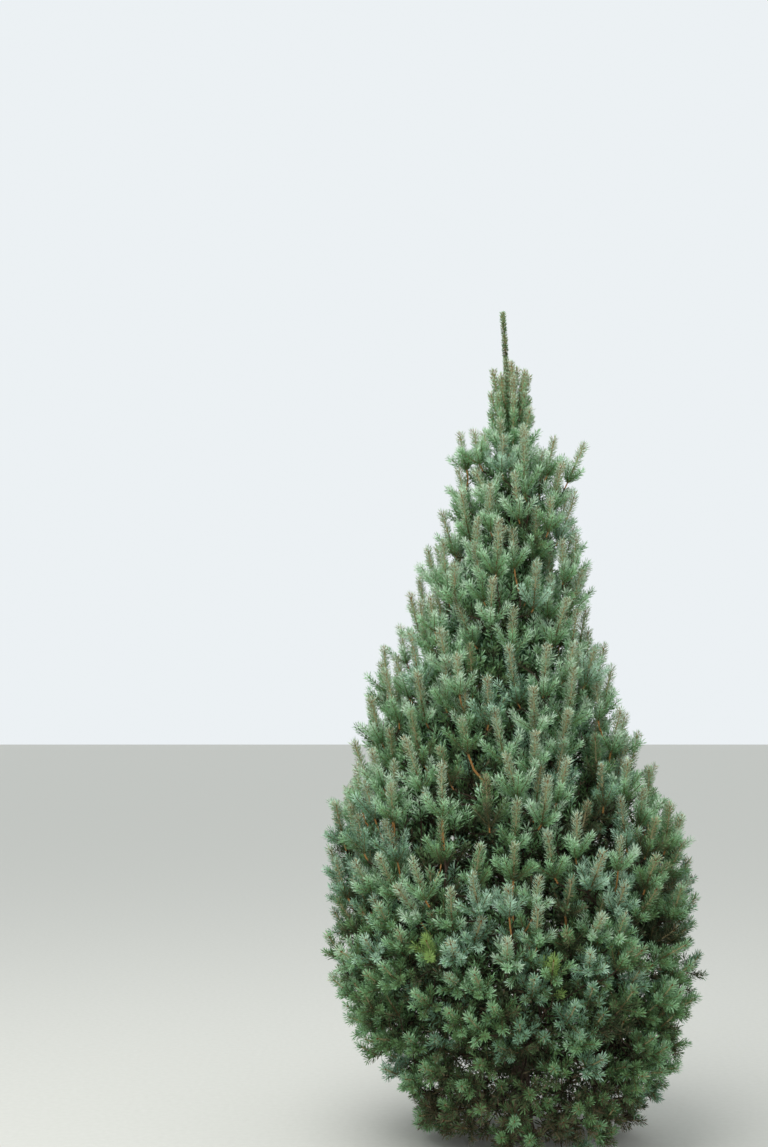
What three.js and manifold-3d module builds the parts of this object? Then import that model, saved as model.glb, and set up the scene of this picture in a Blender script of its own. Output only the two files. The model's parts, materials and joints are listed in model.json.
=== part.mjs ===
// A narrow, upswept blue spruce as a nursery grows it: 3.2 m tall, clothed to the ground.
// Millimetres, +Z up. The origin is the centre of the flat cut under the trunk, at ground level.
// One trunk runs to the tip. Whorls of boughs leave it, steeper the higher they stand, and each bough
// ends where it enters its own mass of foliage. A mass is one stem that carries on from the bough, a
// slim dark core, twigs that branch by a seeded rule, and sprays of needles fused on to them.
import * as THREE from "three";
import { mergeVertices } from "three/addons/utils/BufferGeometryUtils.js";
import Module from "manifold-3d";

const wasm = await Module();
wasm.setup();
const { Manifold } = wasm;

// Trunk
const TREE_HEIGHT = 3200;
const TRUNK_TOP = 3165;
const TRUNK_RADIUS = 36;
const TRUNK_TIP_RADIUS = 3;
const TAPER_POWER = 0.9;
const FLARE_RADIUS = 22;
const FLARE_HEIGHT = 90;
const FLARE_LOBES = 5;
const LOBE_DEPTH = 0.14;
const TRUNK_SIDES = 15;
const TRUNK_RINGS = 13;
const RING_CROWDING = 1.7;
const LEAN_X = -10;
const LEAN_Y = 14;
const BOW = 8;
const LEADER_KICK = -30;

// Outline of the crown: at each height, how far its centre line lies off the trunk's foot to the right,
// and how far the foliage reaches from that line
const CROWN_HEIGHTS = [0, 290, 730, 1260, 1500, 1960, 2360, 2600, 2760, 2930];
const CROWN_CENTRES = [40, 20, -35, -60, -100, -74, -10, -20, 0, -5];
const CROWN_RADII = [450, 594, 740, 668, 554, 390, 302, 216, 114, 68];
const GROUND_CLEARANCE = 12;

// Whorls of boughs, from the ground up. heights are where they leave the trunk. A whorl's limbs set out
// and finish at these angles above the horizontal. bough is the bare share of each limb's length.
const WHORLS = [
  { height: 150, limbs: 5, turn: 14, setOut: -4, finish: 16, bough: 0.36, radius: 11, size: 0.95 },
  { height: 290, limbs: 5, turn: 50, setOut: 9, finish: 38, bough: 0.36, radius: 13, size: 1 },
  { height: 530, limbs: 5, turn: 4, setOut: 22, finish: 56, bough: 0.34, radius: 13, size: 1 },
  { height: 880, limbs: 5, turn: 40, setOut: 36, finish: 72, bough: 0.32, radius: 12, size: 1 },
  { height: 1260, limbs: 5, turn: 6, setOut: 42, finish: 76, bough: 0, radius: 10, size: 0.95 },
  { height: 1650, limbs: 5, turn: 44, setOut: 48, finish: 79, bough: 0, radius: 8, size: 0.9 },
  { height: 2060, limbs: 4, turn: 15, setOut: 54, finish: 81, bough: 0, radius: 7, size: 0.85 },
  { height: 2430, limbs: 4, turn: 60, setOut: 60, finish: 83, bough: 0, radius: 6, size: 0.75 },
];
// The top shoot: a sleeve of short needles round the trunk's tip, with a tight whorl of shoots at its foot
const TOP = { height: 2735, clearance: 8, sideways: 0.11, tiltJitter: 3, lengthJitter: 0.06, slim: 0.6 };
const TOP_SHOOTS = [
  { count: 7, tilt: 9, length: 1.36 },
  { count: 4, tilt: 33, length: 0.72 },
];
const SLEEVE_WALL = 7;
const SLEEVE_SIDES = 5;
const SLEEVE_RINGS = 7;
const SLEEVE_NEEDLE = 11;
const SLEEVE_SWEEP = 16;
const HEIGHT_JITTER = 45;
const TURN_JITTER = 9;
const PITCH_JITTER = 5;
const DRIFT = 14;
const STEP = 12;
const BOUGH_TAPER = 0.62;
const BOUGH_SIDES = 6;
const BOUGH_RINGS = 2;
const STEM_TIP_RADIUS = 3;
const STEM_SIDES = 4;
const STEM_RINGS = 3;

// Foliage
const JOINT_GAP = 0.35;
const TIDY = 0.8;
const SPACE_MARGIN = 2.5;
const TWIG_MARGIN = 7;
const LIMB_CLEARANCE = 6;
const CORE_SHARE = 0.6;
const CORE_JITTER = 0.16;
const CORE_MOST = 140;
const CORE_SIDES = 6;
const CORE_STATIONS = [0.1, 0.42, 0.78];
const CORE_ENDS = [0.02, 0.97];
const SPRAY_LENGTH = 185;
const SPRAY_REACH = 40;
const SPRAY_SWEEP = 34;
const SPRAY_CORE = 14;
const SPRAY_SINK = 0.2;
const SMALLER = 0.72;
const NODE_SPACING = 135;
const TWIGS_PER_NODE = 3;
const TWIG_SPREAD = 58;
const TWIG_SPREAD_JITTER = 10;
const TWIG_RADIUS = 5;
const TWIG_SHORTEST = 40;
const TWIG_LONGEST = 330;
const GOLDEN_ANGLE = 137.508;
const LIFT_AT_GROUND = 0.05;
const LIFT_ABOVE = 0.75;
const LIFT_FULL_HEIGHT = 1300;

const UP = new THREE.Vector3(0, 0, 1);
const radians = THREE.MathUtils.degToRad;
const mix = THREE.MathUtils.lerp;

// A repeatable stream of numbers from 0 to 1.
function stream(seed) {
  let state = Math.imul(seed + 1, 2654435761) >>> 0;
  const next = () => {
    state = (Math.imul(state, 1664525) + 1013904223) >>> 0;
    return state / 4294967296;
  };
  next();
  next();
  return next;
}

// A number that lies evenly between minus and plus size.
const either = (next, size) => (next() * 2 - 1) * size;

// The value at x on the straight lines through the stations.
function between(x, stations, values) {
  if (x <= stations[0]) return values[0];
  for (let i = 1; i < stations.length; i++)
    if (x <= stations[i])
      return mix(values[i - 1], values[i], (x - stations[i - 1]) / (stations[i] - stations[i - 1]));
  return values.at(-1);
}

// The trunk's centre at a height. It stands almost plumb, with one slight bow, and its leader, above
// the top whorl, leans off to one side.
function trunkCentre(z) {
  const share = z / TREE_HEIGHT;
  const bow = BOW * Math.sin(2 * Math.PI * share);
  const kick = LEADER_KICK * Math.max(0, (z - TOP.height) / (TREE_HEIGHT - TOP.height));
  return new THREE.Vector3(LEAN_X * share + bow + kick, LEAN_Y * share - bow / 2, z);
}

// The trunk's radius at a height, with the root flare as it nears the ground.
function trunkRadius(z) {
  const share = Math.min(1, z / TRUNK_TOP);
  const taper = mix(TRUNK_RADIUS, TRUNK_TIP_RADIUS, share ** TAPER_POWER);
  return taper + FLARE_RADIUS * Math.exp(-z / FLARE_HEIGHT);
}

// The crown's centre line: it sways more than the trunk does.
function crownCentre(z) {
  return trunkCentre(z).setX(between(z, CROWN_HEIGHTS, CROWN_CENTRES));
}

// True where a point lies within the crown's outline, clear of the ground and below the top shoot.
function inCrown(p) {
  if (p.z < GROUND_CLEARANCE || p.z > TOP.height - TOP.clearance) return false;
  const centre = crownCentre(p.z);
  const radius = between(p.z, CROWN_HEIGHTS, CROWN_RADII);
  return Math.hypot(p.x - centre.x, p.y - centre.y) < radius;
}

// The unit vector at a heading from +X and a climb above the horizontal, both in radians.
function pointing(heading, climb) {
  return new THREE.Vector3(Math.cos(heading) * Math.cos(climb), Math.sin(heading) * Math.cos(climb), Math.sin(climb));
}

// The distance from a point to a line of points.
function distanceTo(path, p) {
  const line = new THREE.Line3();
  const foot = new THREE.Vector3();
  let least = Infinity;
  for (let i = 1; i < path.length; i++) {
    line.set(path[i - 1], path[i]).closestPointToPoint(p, true, foot);
    least = Math.min(least, foot.distanceTo(p));
  }
  return least;
}

// Points spread evenly along a line of points, count of them.
function spaced(path, count) {
  const curve = new THREE.CatmullRomCurve3(path);
  return curve.getSpacedPoints(count - 1);
}

// A limb's line from the trunk's side out to where its end spray still fits in the crown. It turns
// from the angle it sets out at to the one it finishes at as it nears the crown's outline.
function limbLine(whorl, index, seed) {
  const next = stream(seed);
  const turn = whorl.turn + (360 * index) / whorl.limbs + either(next, TURN_JITTER);
  const pitch = either(next, PITCH_JITTER);
  const drift = either(next, DRIFT);
  const height = whorl.height + either(next, HEIGHT_JITTER);
  const start = trunkCentre(height);
  const points = [];
  const p = start.clone();
  const ahead = new THREE.Vector3();
  do {
    points.push(p.clone());
    const centre = crownCentre(p.z);
    const edge = between(p.z, CROWN_HEIGHTS, CROWN_RADII);
    const share = Math.min(1, Math.hypot(p.x - centre.x, p.y - centre.y) / edge);
    const climb = radians(mix(whorl.setOut, whorl.finish, share) + pitch);
    const forward = pointing(radians(turn + drift * share), climb);
    p.addScaledVector(forward, STEP);
    ahead.copy(p).addScaledVector(forward, SPRAY_LENGTH * whorl.size * (1 - SPRAY_SINK));
  } while (inCrown(ahead));
  return points;
}

// A closed tapering tube along a line of points. Its ends are flat and square to the line.
function tube(path, startRadius, endRadius, sides, rings) {
  const points = spaced(path, rings + 1);
  const geometry = new THREE.CylinderGeometry(1, 1, 1, sides, rings);
  const position = geometry.getAttribute("position");
  const frames = points.map((point, i) => {
    const along = points[Math.min(i + 1, rings)].clone().sub(points[Math.max(i - 1, 0)]).normalize();
    const side = new THREE.Vector3(along.y, -along.x, 0);
    if (side.lengthSq() < 1e-6) side.set(1, 0, 0);
    side.normalize();
    return { point, side, across: along.clone().cross(side), radius: mix(startRadius, endRadius, i / rings) };
  });
  for (let v = 0; v < position.count; v++) {
    const frame = frames[Math.round((position.getY(v) + 0.5) * rings)];
    const p = frame.point.clone();
    p.addScaledVector(frame.side, position.getX(v) * frame.radius);
    p.addScaledVector(frame.across, -position.getZ(v) * frame.radius);
    position.setXYZ(v, p.x, p.y, p.z);
  }
  return geometry;
}

// A closed geometry as a solid.
function solid(geometry) {
  const bare = geometry.clone();
  bare.deleteAttribute("normal");
  bare.deleteAttribute("uv");
  const merged = mergeVertices(bare, 1e-3);
  return new Manifold(
    new wasm.Mesh({
      numProp: 3,
      vertProperties: merged.getAttribute("position").array,
      triVerts: new Uint32Array(merged.index.array),
    }),
  );
}

// The largest body of a solid, without the scraps that a cut leaves.
function largest(made) {
  return made.decompose().sort((a, b) => b.volume() - a.volume())[0];
}

// A solid as a geometry, faceted.
function geometryOf(made) {
  const mesh = made.getMesh();
  const geometry = new THREE.BufferGeometry();
  geometry.setAttribute("position", new THREE.BufferAttribute(mesh.vertProperties, 3));
  geometry.setIndex(new THREE.BufferAttribute(mesh.triVerts, 1));
  return geometry;
}

// The trunk, grown outwards by extra, with a lobed root flare and a flat cut at the ground.
function trunkSolid(extra) {
  const geometry = new THREE.CylinderGeometry(1, 1, 1, TRUNK_SIDES, TRUNK_RINGS);
  const position = geometry.getAttribute("position");
  for (let v = 0; v < position.count; v++) {
    const share = (position.getY(v) + 0.5) ** RING_CROWDING;
    const z = share * (TRUNK_TOP + extra);
    const angle = Math.atan2(position.getX(v), position.getZ(v));
    const onAxis = Math.hypot(position.getX(v), position.getZ(v)) < 0.5;
    const lobes = 1 + LOBE_DEPTH * Math.cos(FLARE_LOBES * angle) * Math.exp(-z / FLARE_HEIGHT);
    const radius = onAxis ? 0 : trunkRadius(z) * lobes + extra;
    const centre = trunkCentre(z);
    position.setXYZ(v, centre.x + radius * Math.sin(angle), centre.y - radius * Math.cos(angle), z);
  }
  return solid(geometry);
}

// A twig and its spray of needles in one, pointing up Z: a stalk of three sides, then a slim core with
// a needle standing out of each face and swept forward. The spray starts at the origin and the stalk
// runs back from there. A spray without a stalk starts in a point.
function sprayGeometry(stalk) {
  const ring = (z, radius, turn) =>
    [0, 120, 240].map((a) => {
      const angle = radians(a + turn);
      return new THREE.Vector3(radius * Math.cos(angle), radius * Math.sin(angle), z);
    });
  const root = new THREE.Vector3(0, 0, 0);
  const foot = ring(-stalk, TWIG_RADIUS, 0);
  const tip = new THREE.Vector3(0, 0, SPRAY_LENGTH);
  const low = ring(SPRAY_LENGTH * 0.2, SPRAY_CORE, 0);
  const high = ring(SPRAY_LENGTH * 0.66, SPRAY_CORE * 0.85, 60);
  const faces = [];
  const plain = (a, b, c) => faces.push(a, b, c);
  // A face raised to a needle: its point stands out of the face and forward of it.
  const needle = (a, b, c, reach) => {
    const middle = a.clone().add(b).add(c).divideScalar(3);
    const out = new THREE.Vector3(middle.x, middle.y, 0).normalize();
    const point = out.multiplyScalar(reach);
    point.z = middle.z + SPRAY_SWEEP;
    plain(a, b, point);
    plain(b, c, point);
    plain(c, a, point);
  };
  const band = (under, over, i, j) => {
    plain(under[i], under[j], over[i]);
    plain(under[j], over[j], over[i]);
  };
  if (stalk > 0) plain(foot[2], foot[1], foot[0]);
  for (let i = 0; i < 3; i++) {
    const j = (i + 1) % 3;
    if (stalk > 0) {
      band(foot, low, i, j);
    } else plain(root, low[j], low[i]);
    needle(low[i], low[j], high[i], SPRAY_REACH);
    needle(low[j], high[j], high[i], SPRAY_REACH);
    plain(high[i], high[j], tip);
  }
  const geometry = new THREE.BufferGeometry().setFromPoints(faces);
  return mergeVertices(geometry, 1e-3);
}

// The spray's place: its root at a point, sunk back into its twig, pointing along a direction.
function sprayMatrix(point, direction, turn, size) {
  const swing = new THREE.Quaternion().setFromUnitVectors(UP, direction);
  const spin = new THREE.Quaternion().setFromAxisAngle(UP, turn);
  return new THREE.Matrix4().compose(point, swing.multiply(spin), new THREE.Vector3(size, size, size));
}

// All limbs: their lines, and the part of each line that is bough and that is stem.
function makeLimbs() {
  const limbs = [];
  WHORLS.forEach((whorl, w) => {
    for (let i = 0; i < whorl.limbs; i++) {
      const name = `${w + 1}${"abcde"[i]}`;
      const line = limbLine(whorl, i, 100 * w + i);
      const length = STEP * (line.length - 1);
      const entry = Math.max(2, Math.round((line.length - 1) * whorl.bough));
      limbs.push({ name, whorl, line, length, entry, seed: 100 * w + i });
    }
  });
  return limbs;
}
const LIMBS = makeLimbs();

// True where a point keeps to a limb's own space: nearer to its line than to any other limb's, within
// the crown, and clear of the trunk.
function keepsToSpace(p, limb, margin = SPACE_MARGIN) {
  if (!inCrown(p)) return false;
  const centre = trunkCentre(p.z);
  if (Math.hypot(p.x - centre.x, p.y - centre.y) < trunkRadius(p.z) + LIMB_CLEARANCE) return false;
  const own = distanceTo(limb.path, p);
  return LIMBS.every((other) => other === limb || distanceTo(other.path, p) > own + 2 * margin);
}
for (const limb of LIMBS) limb.path = spaced(limb.line, 7);

// How far one can go from a point in a direction before leaving the limb's space, up to most.
function roomAlong(from, direction, limb, most) {
  const p = from.clone();
  let gone = 0;
  while (gone < most && keepsToSpace(p.addScaledVector(direction, STEP), limb, TWIG_MARGIN)) gone += STEP;
  return gone;
}

// The mass's core: a faceted spindle round the stem, a share of the way out to the space's edge.
function coreSolid(limb, stem, next) {
  const rings = CORE_STATIONS.map((share) => {
    const at = stem[Math.round(share * (stem.length - 1))];
    const before = stem[Math.max(0, Math.round(share * (stem.length - 1)) - 2)];
    const along = at.clone().sub(before).normalize();
    const side = along.clone().cross(UP).normalize();
    const across = along.clone().cross(side);
    return Array.from({ length: CORE_SIDES }, (_, i) => {
      const angle = (2 * Math.PI * i) / CORE_SIDES;
      const out = side.clone().multiplyScalar(Math.cos(angle)).addScaledVector(across, Math.sin(angle));
      const room = roomAlong(at, out, limb, CORE_MOST / CORE_SHARE);
      const share = CORE_SHARE * (1 + either(next, CORE_JITTER));
      return at.clone().addScaledVector(out, Math.max(STEM_TIP_RADIUS * 2, room * share));
    });
  });
  const [first, last] = CORE_ENDS.map((share) => stem[Math.round(share * (stem.length - 1))]);
  const faces = [];
  const bands = rings.length - 1;
  for (let i = 0; i < CORE_SIDES; i++) {
    const j = (i + 1) % CORE_SIDES;
    faces.push(first, rings[0][j], rings[0][i]);
    for (let b = 0; b < bands; b++) {
      faces.push(rings[b][i], rings[b][j], rings[b + 1][i]);
      faces.push(rings[b][j], rings[b + 1][j], rings[b + 1][i]);
    }
    faces.push(last, rings[bands][i], rings[bands][j]);
  }
  return solid(mergeVertices(new THREE.BufferGeometry().setFromPoints(faces), 1e-3));
}

// A spray as a solid at its place, or nothing where it would leave the limb's space.
function fittingSpray(point, direction, turn, size, stalk, limb) {
  const matrix = sprayMatrix(point, direction, turn, size);
  const shape = sprayGeometry(stalk);
  const position = shape.getAttribute("position");
  const corner = new THREE.Vector3();
  for (let v = 0; v < position.count; v++) {
    corner.fromBufferAttribute(position, v).applyMatrix4(matrix);
    if (!keepsToSpace(corner, limb)) return null;
  }
  return solid(shape.applyMatrix4(matrix));
}

// A limb's tube cut square where the limb enters its mass: the bough keeps the near side (-1), the
// stem the far side (1), half the gap off the cut each.
function trimmed(made, limb, side) {
  const at = limb.line[limb.entry];
  const along = limb.line[limb.entry + 1].clone().sub(limb.line[limb.entry - 1]).normalize().multiplyScalar(side);
  return made.trimByPlane(along.toArray(), along.dot(at) + JOINT_GAP / 2);
}

// The directions across a line at one of its points: forward, sideways and up from it.
function frameAt(line, index) {
  const before = line[Math.max(0, index - 1)];
  const forward = line[Math.min(line.length - 1, index + 1)].clone().sub(before).normalize();
  const side = forward.clone().cross(UP).normalize();
  return { at: line[index], forward, side, across: side.clone().cross(forward) };
}

// One mass of foliage.
function massSolid(limb, trunkGrown) {
  const next = stream(limb.seed + 7000);
  const direct = limb.whorl.bough === 0;
  const stem = limb.line.slice(limb.entry);
  const startRadius = direct ? limb.whorl.radius : limb.whorl.radius * BOUGH_TAPER;
  const line = direct ? limb.line : limb.line.slice(limb.entry - 1);
  const bare = solid(tube(line, startRadius, STEM_TIP_RADIUS, STEM_SIDES, STEM_RINGS));
  const pieces = [direct ? bare : trimmed(bare, limb, 1), coreSolid(limb, stem, next)];
  // A spray with its stalk, made smaller where it doesn't fit at its full size
  const add = (point, direction, stalk) => {
    const turn = either(next, Math.PI);
    for (const size of [limb.whorl.size, limb.whorl.size * SMALLER]) {
      const made = fittingSpray(point, direction, turn, size, stalk / size, limb);
      if (made) return pieces.push(made);
    }
    return 0;
  };
  const end = frameAt(stem, stem.length - 1);
  add(end.at.clone().addScaledVector(end.forward, -SPRAY_SINK * SPRAY_LENGTH), end.forward, 0);
  const lift = mix(LIFT_AT_GROUND, LIFT_ABOVE, Math.min(1, stem[0].z / LIFT_FULL_HEIGHT));
  const nodes = Math.max(4, Math.round((stem.length * STEP) / NODE_SPACING));
  let spin = next() * 360;
  for (let n = 0; n < nodes; n++) {
    const { at, forward, side, across } = frameAt(stem, Math.round(((n + 0.3) / nodes) * (stem.length - 1)));
    for (let k = 0; k < TWIGS_PER_NODE; k++) {
      spin += GOLDEN_ANGLE;
      const spread = radians(TWIG_SPREAD + either(next, TWIG_SPREAD_JITTER));
      const out = side.clone().multiplyScalar(Math.cos(radians(spin)));
      out.addScaledVector(across, Math.sin(radians(spin)));
      const direction = forward.clone().multiplyScalar(Math.cos(spread)).addScaledVector(out, Math.sin(spread));
      direction.addScaledVector(UP, lift).normalize();
      const room = roomAlong(at, direction, limb, TWIG_LONGEST + SPRAY_LENGTH);
      const length = Math.min(TWIG_LONGEST, room - SPRAY_LENGTH * limb.whorl.size);
      if (length > TWIG_SHORTEST) add(at.clone().addScaledVector(direction, length), direction, length);
    }
  }
  const joined = Manifold.union(pieces).simplify(TIDY);
  return largest(direct ? joined.subtract(trunkGrown) : joined);
}

// The top shoot's needles: a sleeve clear of the trunk and closed over its tip, each second face of it
// raised to a needle, with the top whorl's shoots standing out of its foot.
function topSolid(trunkGrown) {
  const next = stream(TOP.height);
  const height = TREE_HEIGHT - TOP.height;
  const rings = Array.from({ length: SLEEVE_RINGS }, (_, r) => {
    const z = TOP.height + (height * r) / (SLEEVE_RINGS - 0.4);
    const centre = trunkCentre(z);
    return Array.from({ length: SLEEVE_SIDES }, (_, i) => {
      const angle = (2 * Math.PI * (i + (r % 2) / 2)) / SLEEVE_SIDES;
      const radius = trunkRadius(z) + SLEEVE_WALL * (1 - 0.5 * (r / SLEEVE_RINGS));
      return new THREE.Vector3(centre.x + radius * Math.cos(angle), centre.y + radius * Math.sin(angle), z);
    });
  });
  const foot = trunkCentre(TOP.height);
  const peak = trunkCentre(TREE_HEIGHT);
  const faces = [];
  const needle = (a, b, c, centre) => {
    const middle = a.clone().add(b).add(c).divideScalar(3);
    const out = middle.clone().sub(centre).setZ(0).normalize();
    const point = middle.clone().addScaledVector(out, SLEEVE_NEEDLE).addScaledVector(UP, SLEEVE_SWEEP);
    faces.push(a, b, point, b, c, point, c, a, point);
  };
  for (let i = 0; i < SLEEVE_SIDES; i++) {
    const j = (i + 1) % SLEEVE_SIDES;
    faces.push(foot, rings[0][j], rings[0][i]);
    for (let r = 0; r < SLEEVE_RINGS - 1; r++) {
      const [low, high] = [rings[r], rings[r + 1]];
      const k = r % 2 ? j : i;
      needle(low[i], low[j], high[k], trunkCentre(low[i].z));
      faces.push(low[r % 2 ? i : j], high[j], high[i]);
    }
    faces.push(rings.at(-1)[i], rings.at(-1)[j], peak);
  }
  const pieces = [solid(mergeVertices(new THREE.BufferGeometry().setFromPoints(faces), 1e-3))];
  for (const { count, tilt, length } of TOP_SHOOTS)
    for (let i = 0; i < count; i++) {
      const angle = (2 * Math.PI * (i + either(next, 0.2))) / count;
      const climb = radians(90 - tilt + either(next, TOP.tiltJitter));
      const along = pointing(angle, climb).add(new THREE.Vector3(TOP.sideways, 0, 0)).normalize();
      const shoot = sprayGeometry(0).scale(TOP.slim, TOP.slim, length * (1 + either(next, TOP.lengthJitter)));
      pieces.push(solid(shoot.applyMatrix4(sprayMatrix(foot.clone().addScaledVector(UP, 4), along, angle, 1))));
    }
  return largest(Manifold.union(pieces).simplify(TIDY / 2).subtract(trunkGrown));
}

const barkMaterial = new THREE.MeshStandardMaterial({ color: "#6b5a4b", roughness: 0.9, metalness: 0 });
const boughMaterial = new THREE.MeshStandardMaterial({ color: "#8a6240", roughness: 0.85, metalness: 0 });
const needleMaterial = new THREE.MeshStandardMaterial({ color: "#6f8f7c", roughness: 0.6, metalness: 0 });

function addNode(group, name, made, material) {
  const mesh = new THREE.Mesh(geometryOf(made), material);
  mesh.name = name;
  group.add(mesh);
}

const tree = new THREE.Group();
const trunk = trunkSolid(0);
const trunkGrown = trunkSolid(JOINT_GAP);
addNode(tree, "trunk", trunk, barkMaterial);
for (const limb of LIMBS) {
  if (limb.whorl.bough > 0) {
    const line = limb.line.slice(0, limb.entry + 2);
    const whole = solid(tube(line, limb.whorl.radius, limb.whorl.radius * BOUGH_TAPER, BOUGH_SIDES, BOUGH_RINGS));
    const bough = trimmed(whole.subtract(trunkGrown), limb, -1);
    addNode(tree, `bough_${limb.name}`, bough.simplify(0.02), boughMaterial);
  }
  addNode(tree, `foliage_${limb.name}`, massSolid(limb, trunkGrown), needleMaterial);
}
addNode(tree, "foliage_top", topSolid(trunkGrown), needleMaterial);

export default tree;
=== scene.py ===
"""Dress the blue spruce: a narrow, upswept tree, 3.2 m tall and clothed to the ground.

The part's frame gives the size and the solids that each piece stands for. The limbs repeat the rule of
the part's source, with its named sizes, and grow on from there:

* A limb's line turns from the angle it sets out at to the one it finishes at, in steps, as it nears the
  crown's outline.
* Twigs leave a limb in threes, turned by the golden angle, and twiglets leave each twig in pairs.
* A tuft ends each of them: one upright shoot with a whorl of side shoots at its foot. A tuft that would
  crowd another, or leave the crown's outline, is skipped.
* Needles stand round each shoot at the golden angle, and a few fan over its tip.

Shapes are worked out in millimetres and written to the meshes in metres. A height is measured from the
ground, and a depth is how far inside the crown's outline a place lies.
"""
from __future__ import annotations

import json
import logging
import math
from dataclasses import dataclass
from enum import IntEnum
from typing import Self

import bpy
import numpy as np
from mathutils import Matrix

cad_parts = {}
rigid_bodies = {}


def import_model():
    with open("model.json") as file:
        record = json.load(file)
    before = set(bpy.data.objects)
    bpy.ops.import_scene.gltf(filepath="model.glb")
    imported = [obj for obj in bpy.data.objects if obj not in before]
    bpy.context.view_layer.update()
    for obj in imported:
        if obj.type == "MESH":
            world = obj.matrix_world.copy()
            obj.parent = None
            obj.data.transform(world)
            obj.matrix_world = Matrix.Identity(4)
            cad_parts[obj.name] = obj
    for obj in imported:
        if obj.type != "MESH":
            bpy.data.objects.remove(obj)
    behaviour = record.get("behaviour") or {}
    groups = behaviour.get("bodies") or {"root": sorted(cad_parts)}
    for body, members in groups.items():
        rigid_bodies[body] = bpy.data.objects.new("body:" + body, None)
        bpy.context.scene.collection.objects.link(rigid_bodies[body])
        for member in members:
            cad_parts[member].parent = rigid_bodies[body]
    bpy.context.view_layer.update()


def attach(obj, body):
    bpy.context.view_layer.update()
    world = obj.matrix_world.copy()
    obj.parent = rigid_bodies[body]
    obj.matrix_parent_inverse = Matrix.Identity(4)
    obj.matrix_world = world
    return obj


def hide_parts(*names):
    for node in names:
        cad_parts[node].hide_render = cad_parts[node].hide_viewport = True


LOG = logging.getLogger("spruce")
Array = np.ndarray
Random = np.random.Generator
Material = bpy.types.Material
Tree = bpy.types.NodeTree
Pair = tuple[float, float]

MM = 0.001
GOLDEN_ANGLE = math.radians(137.508)
UP = np.array([0.0, 0.0, 1.0])
EAST = np.array([1.0, 0.0, 0.0])
# A direction that climbs more than this share of its length counts as steep.
STEEP = 0.9
# It keeps a division from ending in nothing.
TINY = 1e-9
SEED = 20311


class Tone(IntEnum):
    """The shades of needle, in the order of a foliage piece's material slots."""

    PALE = 0
    FRESH = 1
    MID = 2
    DEEP = 3
    SHADE = 4
    DUSK = 5
    TAWNY = 6
    YELLOW = 7
    DRY = 8
    WAXED = 9
    WAXED_DEEP = 10


class Wood(IntEnum):
    """The finishes of a twig piece, in the order of its material slots."""

    YOUNG = 0
    SIDE = 1
    OLD = 2
    BUD = 3
    STEM = 4


def unit(vectors: Array) -> Array:
    """Return the vectors at length one, each row divided by its own length."""
    return vectors / np.maximum(np.linalg.norm(vectors, axis=-1, keepdims=True), TINY)


def mix(a: Array | float, b: Array | float, share: Array | float) -> Array | float:
    """Return the value a share of the way from a to b."""
    return a + (b - a) * share


def ramp(x: Array | float, low: float, high: float) -> Array | float:
    """Return 0 below low, 1 above high, and the share of the way between them."""
    return np.clip((x - low) / (high - low), 0.0, 1.0)


def smooth(x: Array | float, low: float, high: float) -> Array | float:
    """Return 0 below low, 1 above high, and 3s^2 - 2s^3 of the share s between them."""
    s = ramp(x, low, high)
    return s * s * (3.0 - 2.0 * s)


def pointing(heading: Array | float, climb: Array | float) -> Array:
    """Return unit vectors at a heading from +X and a climb above the horizontal, in radians."""
    parts = [np.cos(heading) * np.cos(climb), np.sin(heading) * np.cos(climb), np.sin(climb) + 0 * heading]
    return np.stack(parts, axis=-1)


def across(tangents: Array) -> tuple[Array, Array]:
    """Return two unit vectors square to each tangent and to each other.

    The first is the tangent crossed with +Z, or with +X where the tangent is steep.

    Args:
        tangents: Unit vectors, shape (n, 3).

    Returns:
        The side vectors and the vectors that finish each right-handed set.
    """
    reference = np.where(np.abs(tangents[:, 2:3]) > STEEP, EAST, UP)
    side = unit(np.cross(tangents, reference))
    return side, np.cross(side, tangents)


def turned(forward: Array, spin: Array, angle: Array) -> tuple[Array, Array]:
    """Return directions that are turned away from others.

    With s and u square to the direction f, a way w is s cos(spin) + u sin(spin), and the turned
    direction is f cos(angle) + w sin(angle).

    Args:
        forward: The unit directions f, shape (n, 3).
        spin: Angles round them, shape (n).
        angle: Angles away from them, shape (n, 1).

    Returns:
        The turned directions, and the ways w square to the old ones.
    """
    side, up = across(forward)
    way = side * np.cos(spin)[:, None] + up * np.sin(spin)[:, None]
    return forward * np.cos(angle) + way * np.sin(angle), way


def dealt(count: Array) -> tuple[Array, Array]:
    """Deal out children to parents.

    Args:
        count: How many children each parent has.

    Returns:
        Each child's parent, and its own number among the children of that parent.
    """
    parent = np.repeat(np.arange(len(count)), count)
    return parent, np.arange(len(parent)) - np.repeat(np.cumsum(count) - count, count)


def bent_lines(
    start: Array, leaving: Array, end: Array, arriving: Array, until: Array, count: int
) -> Array:
    """Return points along cubic curves that leave and arrive in given directions.

    The curve is (1-t)^3 A + 3(1-t)^2 t (A + aL/3) + 3(1-t) t^2 (B - bL/3) + t^3 B, with L = |B - A|.

    Args:
        start: The first points A, shape (n, 3).
        leaving: Unit directions a at the start.
        end: The last points B.
        arriving: Unit directions b at the end.
        until: How far each curve is followed, as a share t.
        count: Points on each curve.

    Returns:
        The points, shape (n, count, 3).
    """
    third = np.linalg.norm(end - start, axis=1, keepdims=True) / 3.0
    t = (until[:, None] * np.linspace(0.0, 1.0, count))[:, :, None]
    a, b = start[:, None], end[:, None]
    c, d = (start + leaving * third)[:, None], (end - arriving * third)[:, None]
    s = 1.0 - t
    return s**3 * a + 3 * s * s * t * c + 3 * s * t * t * d + t**3 * b


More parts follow.
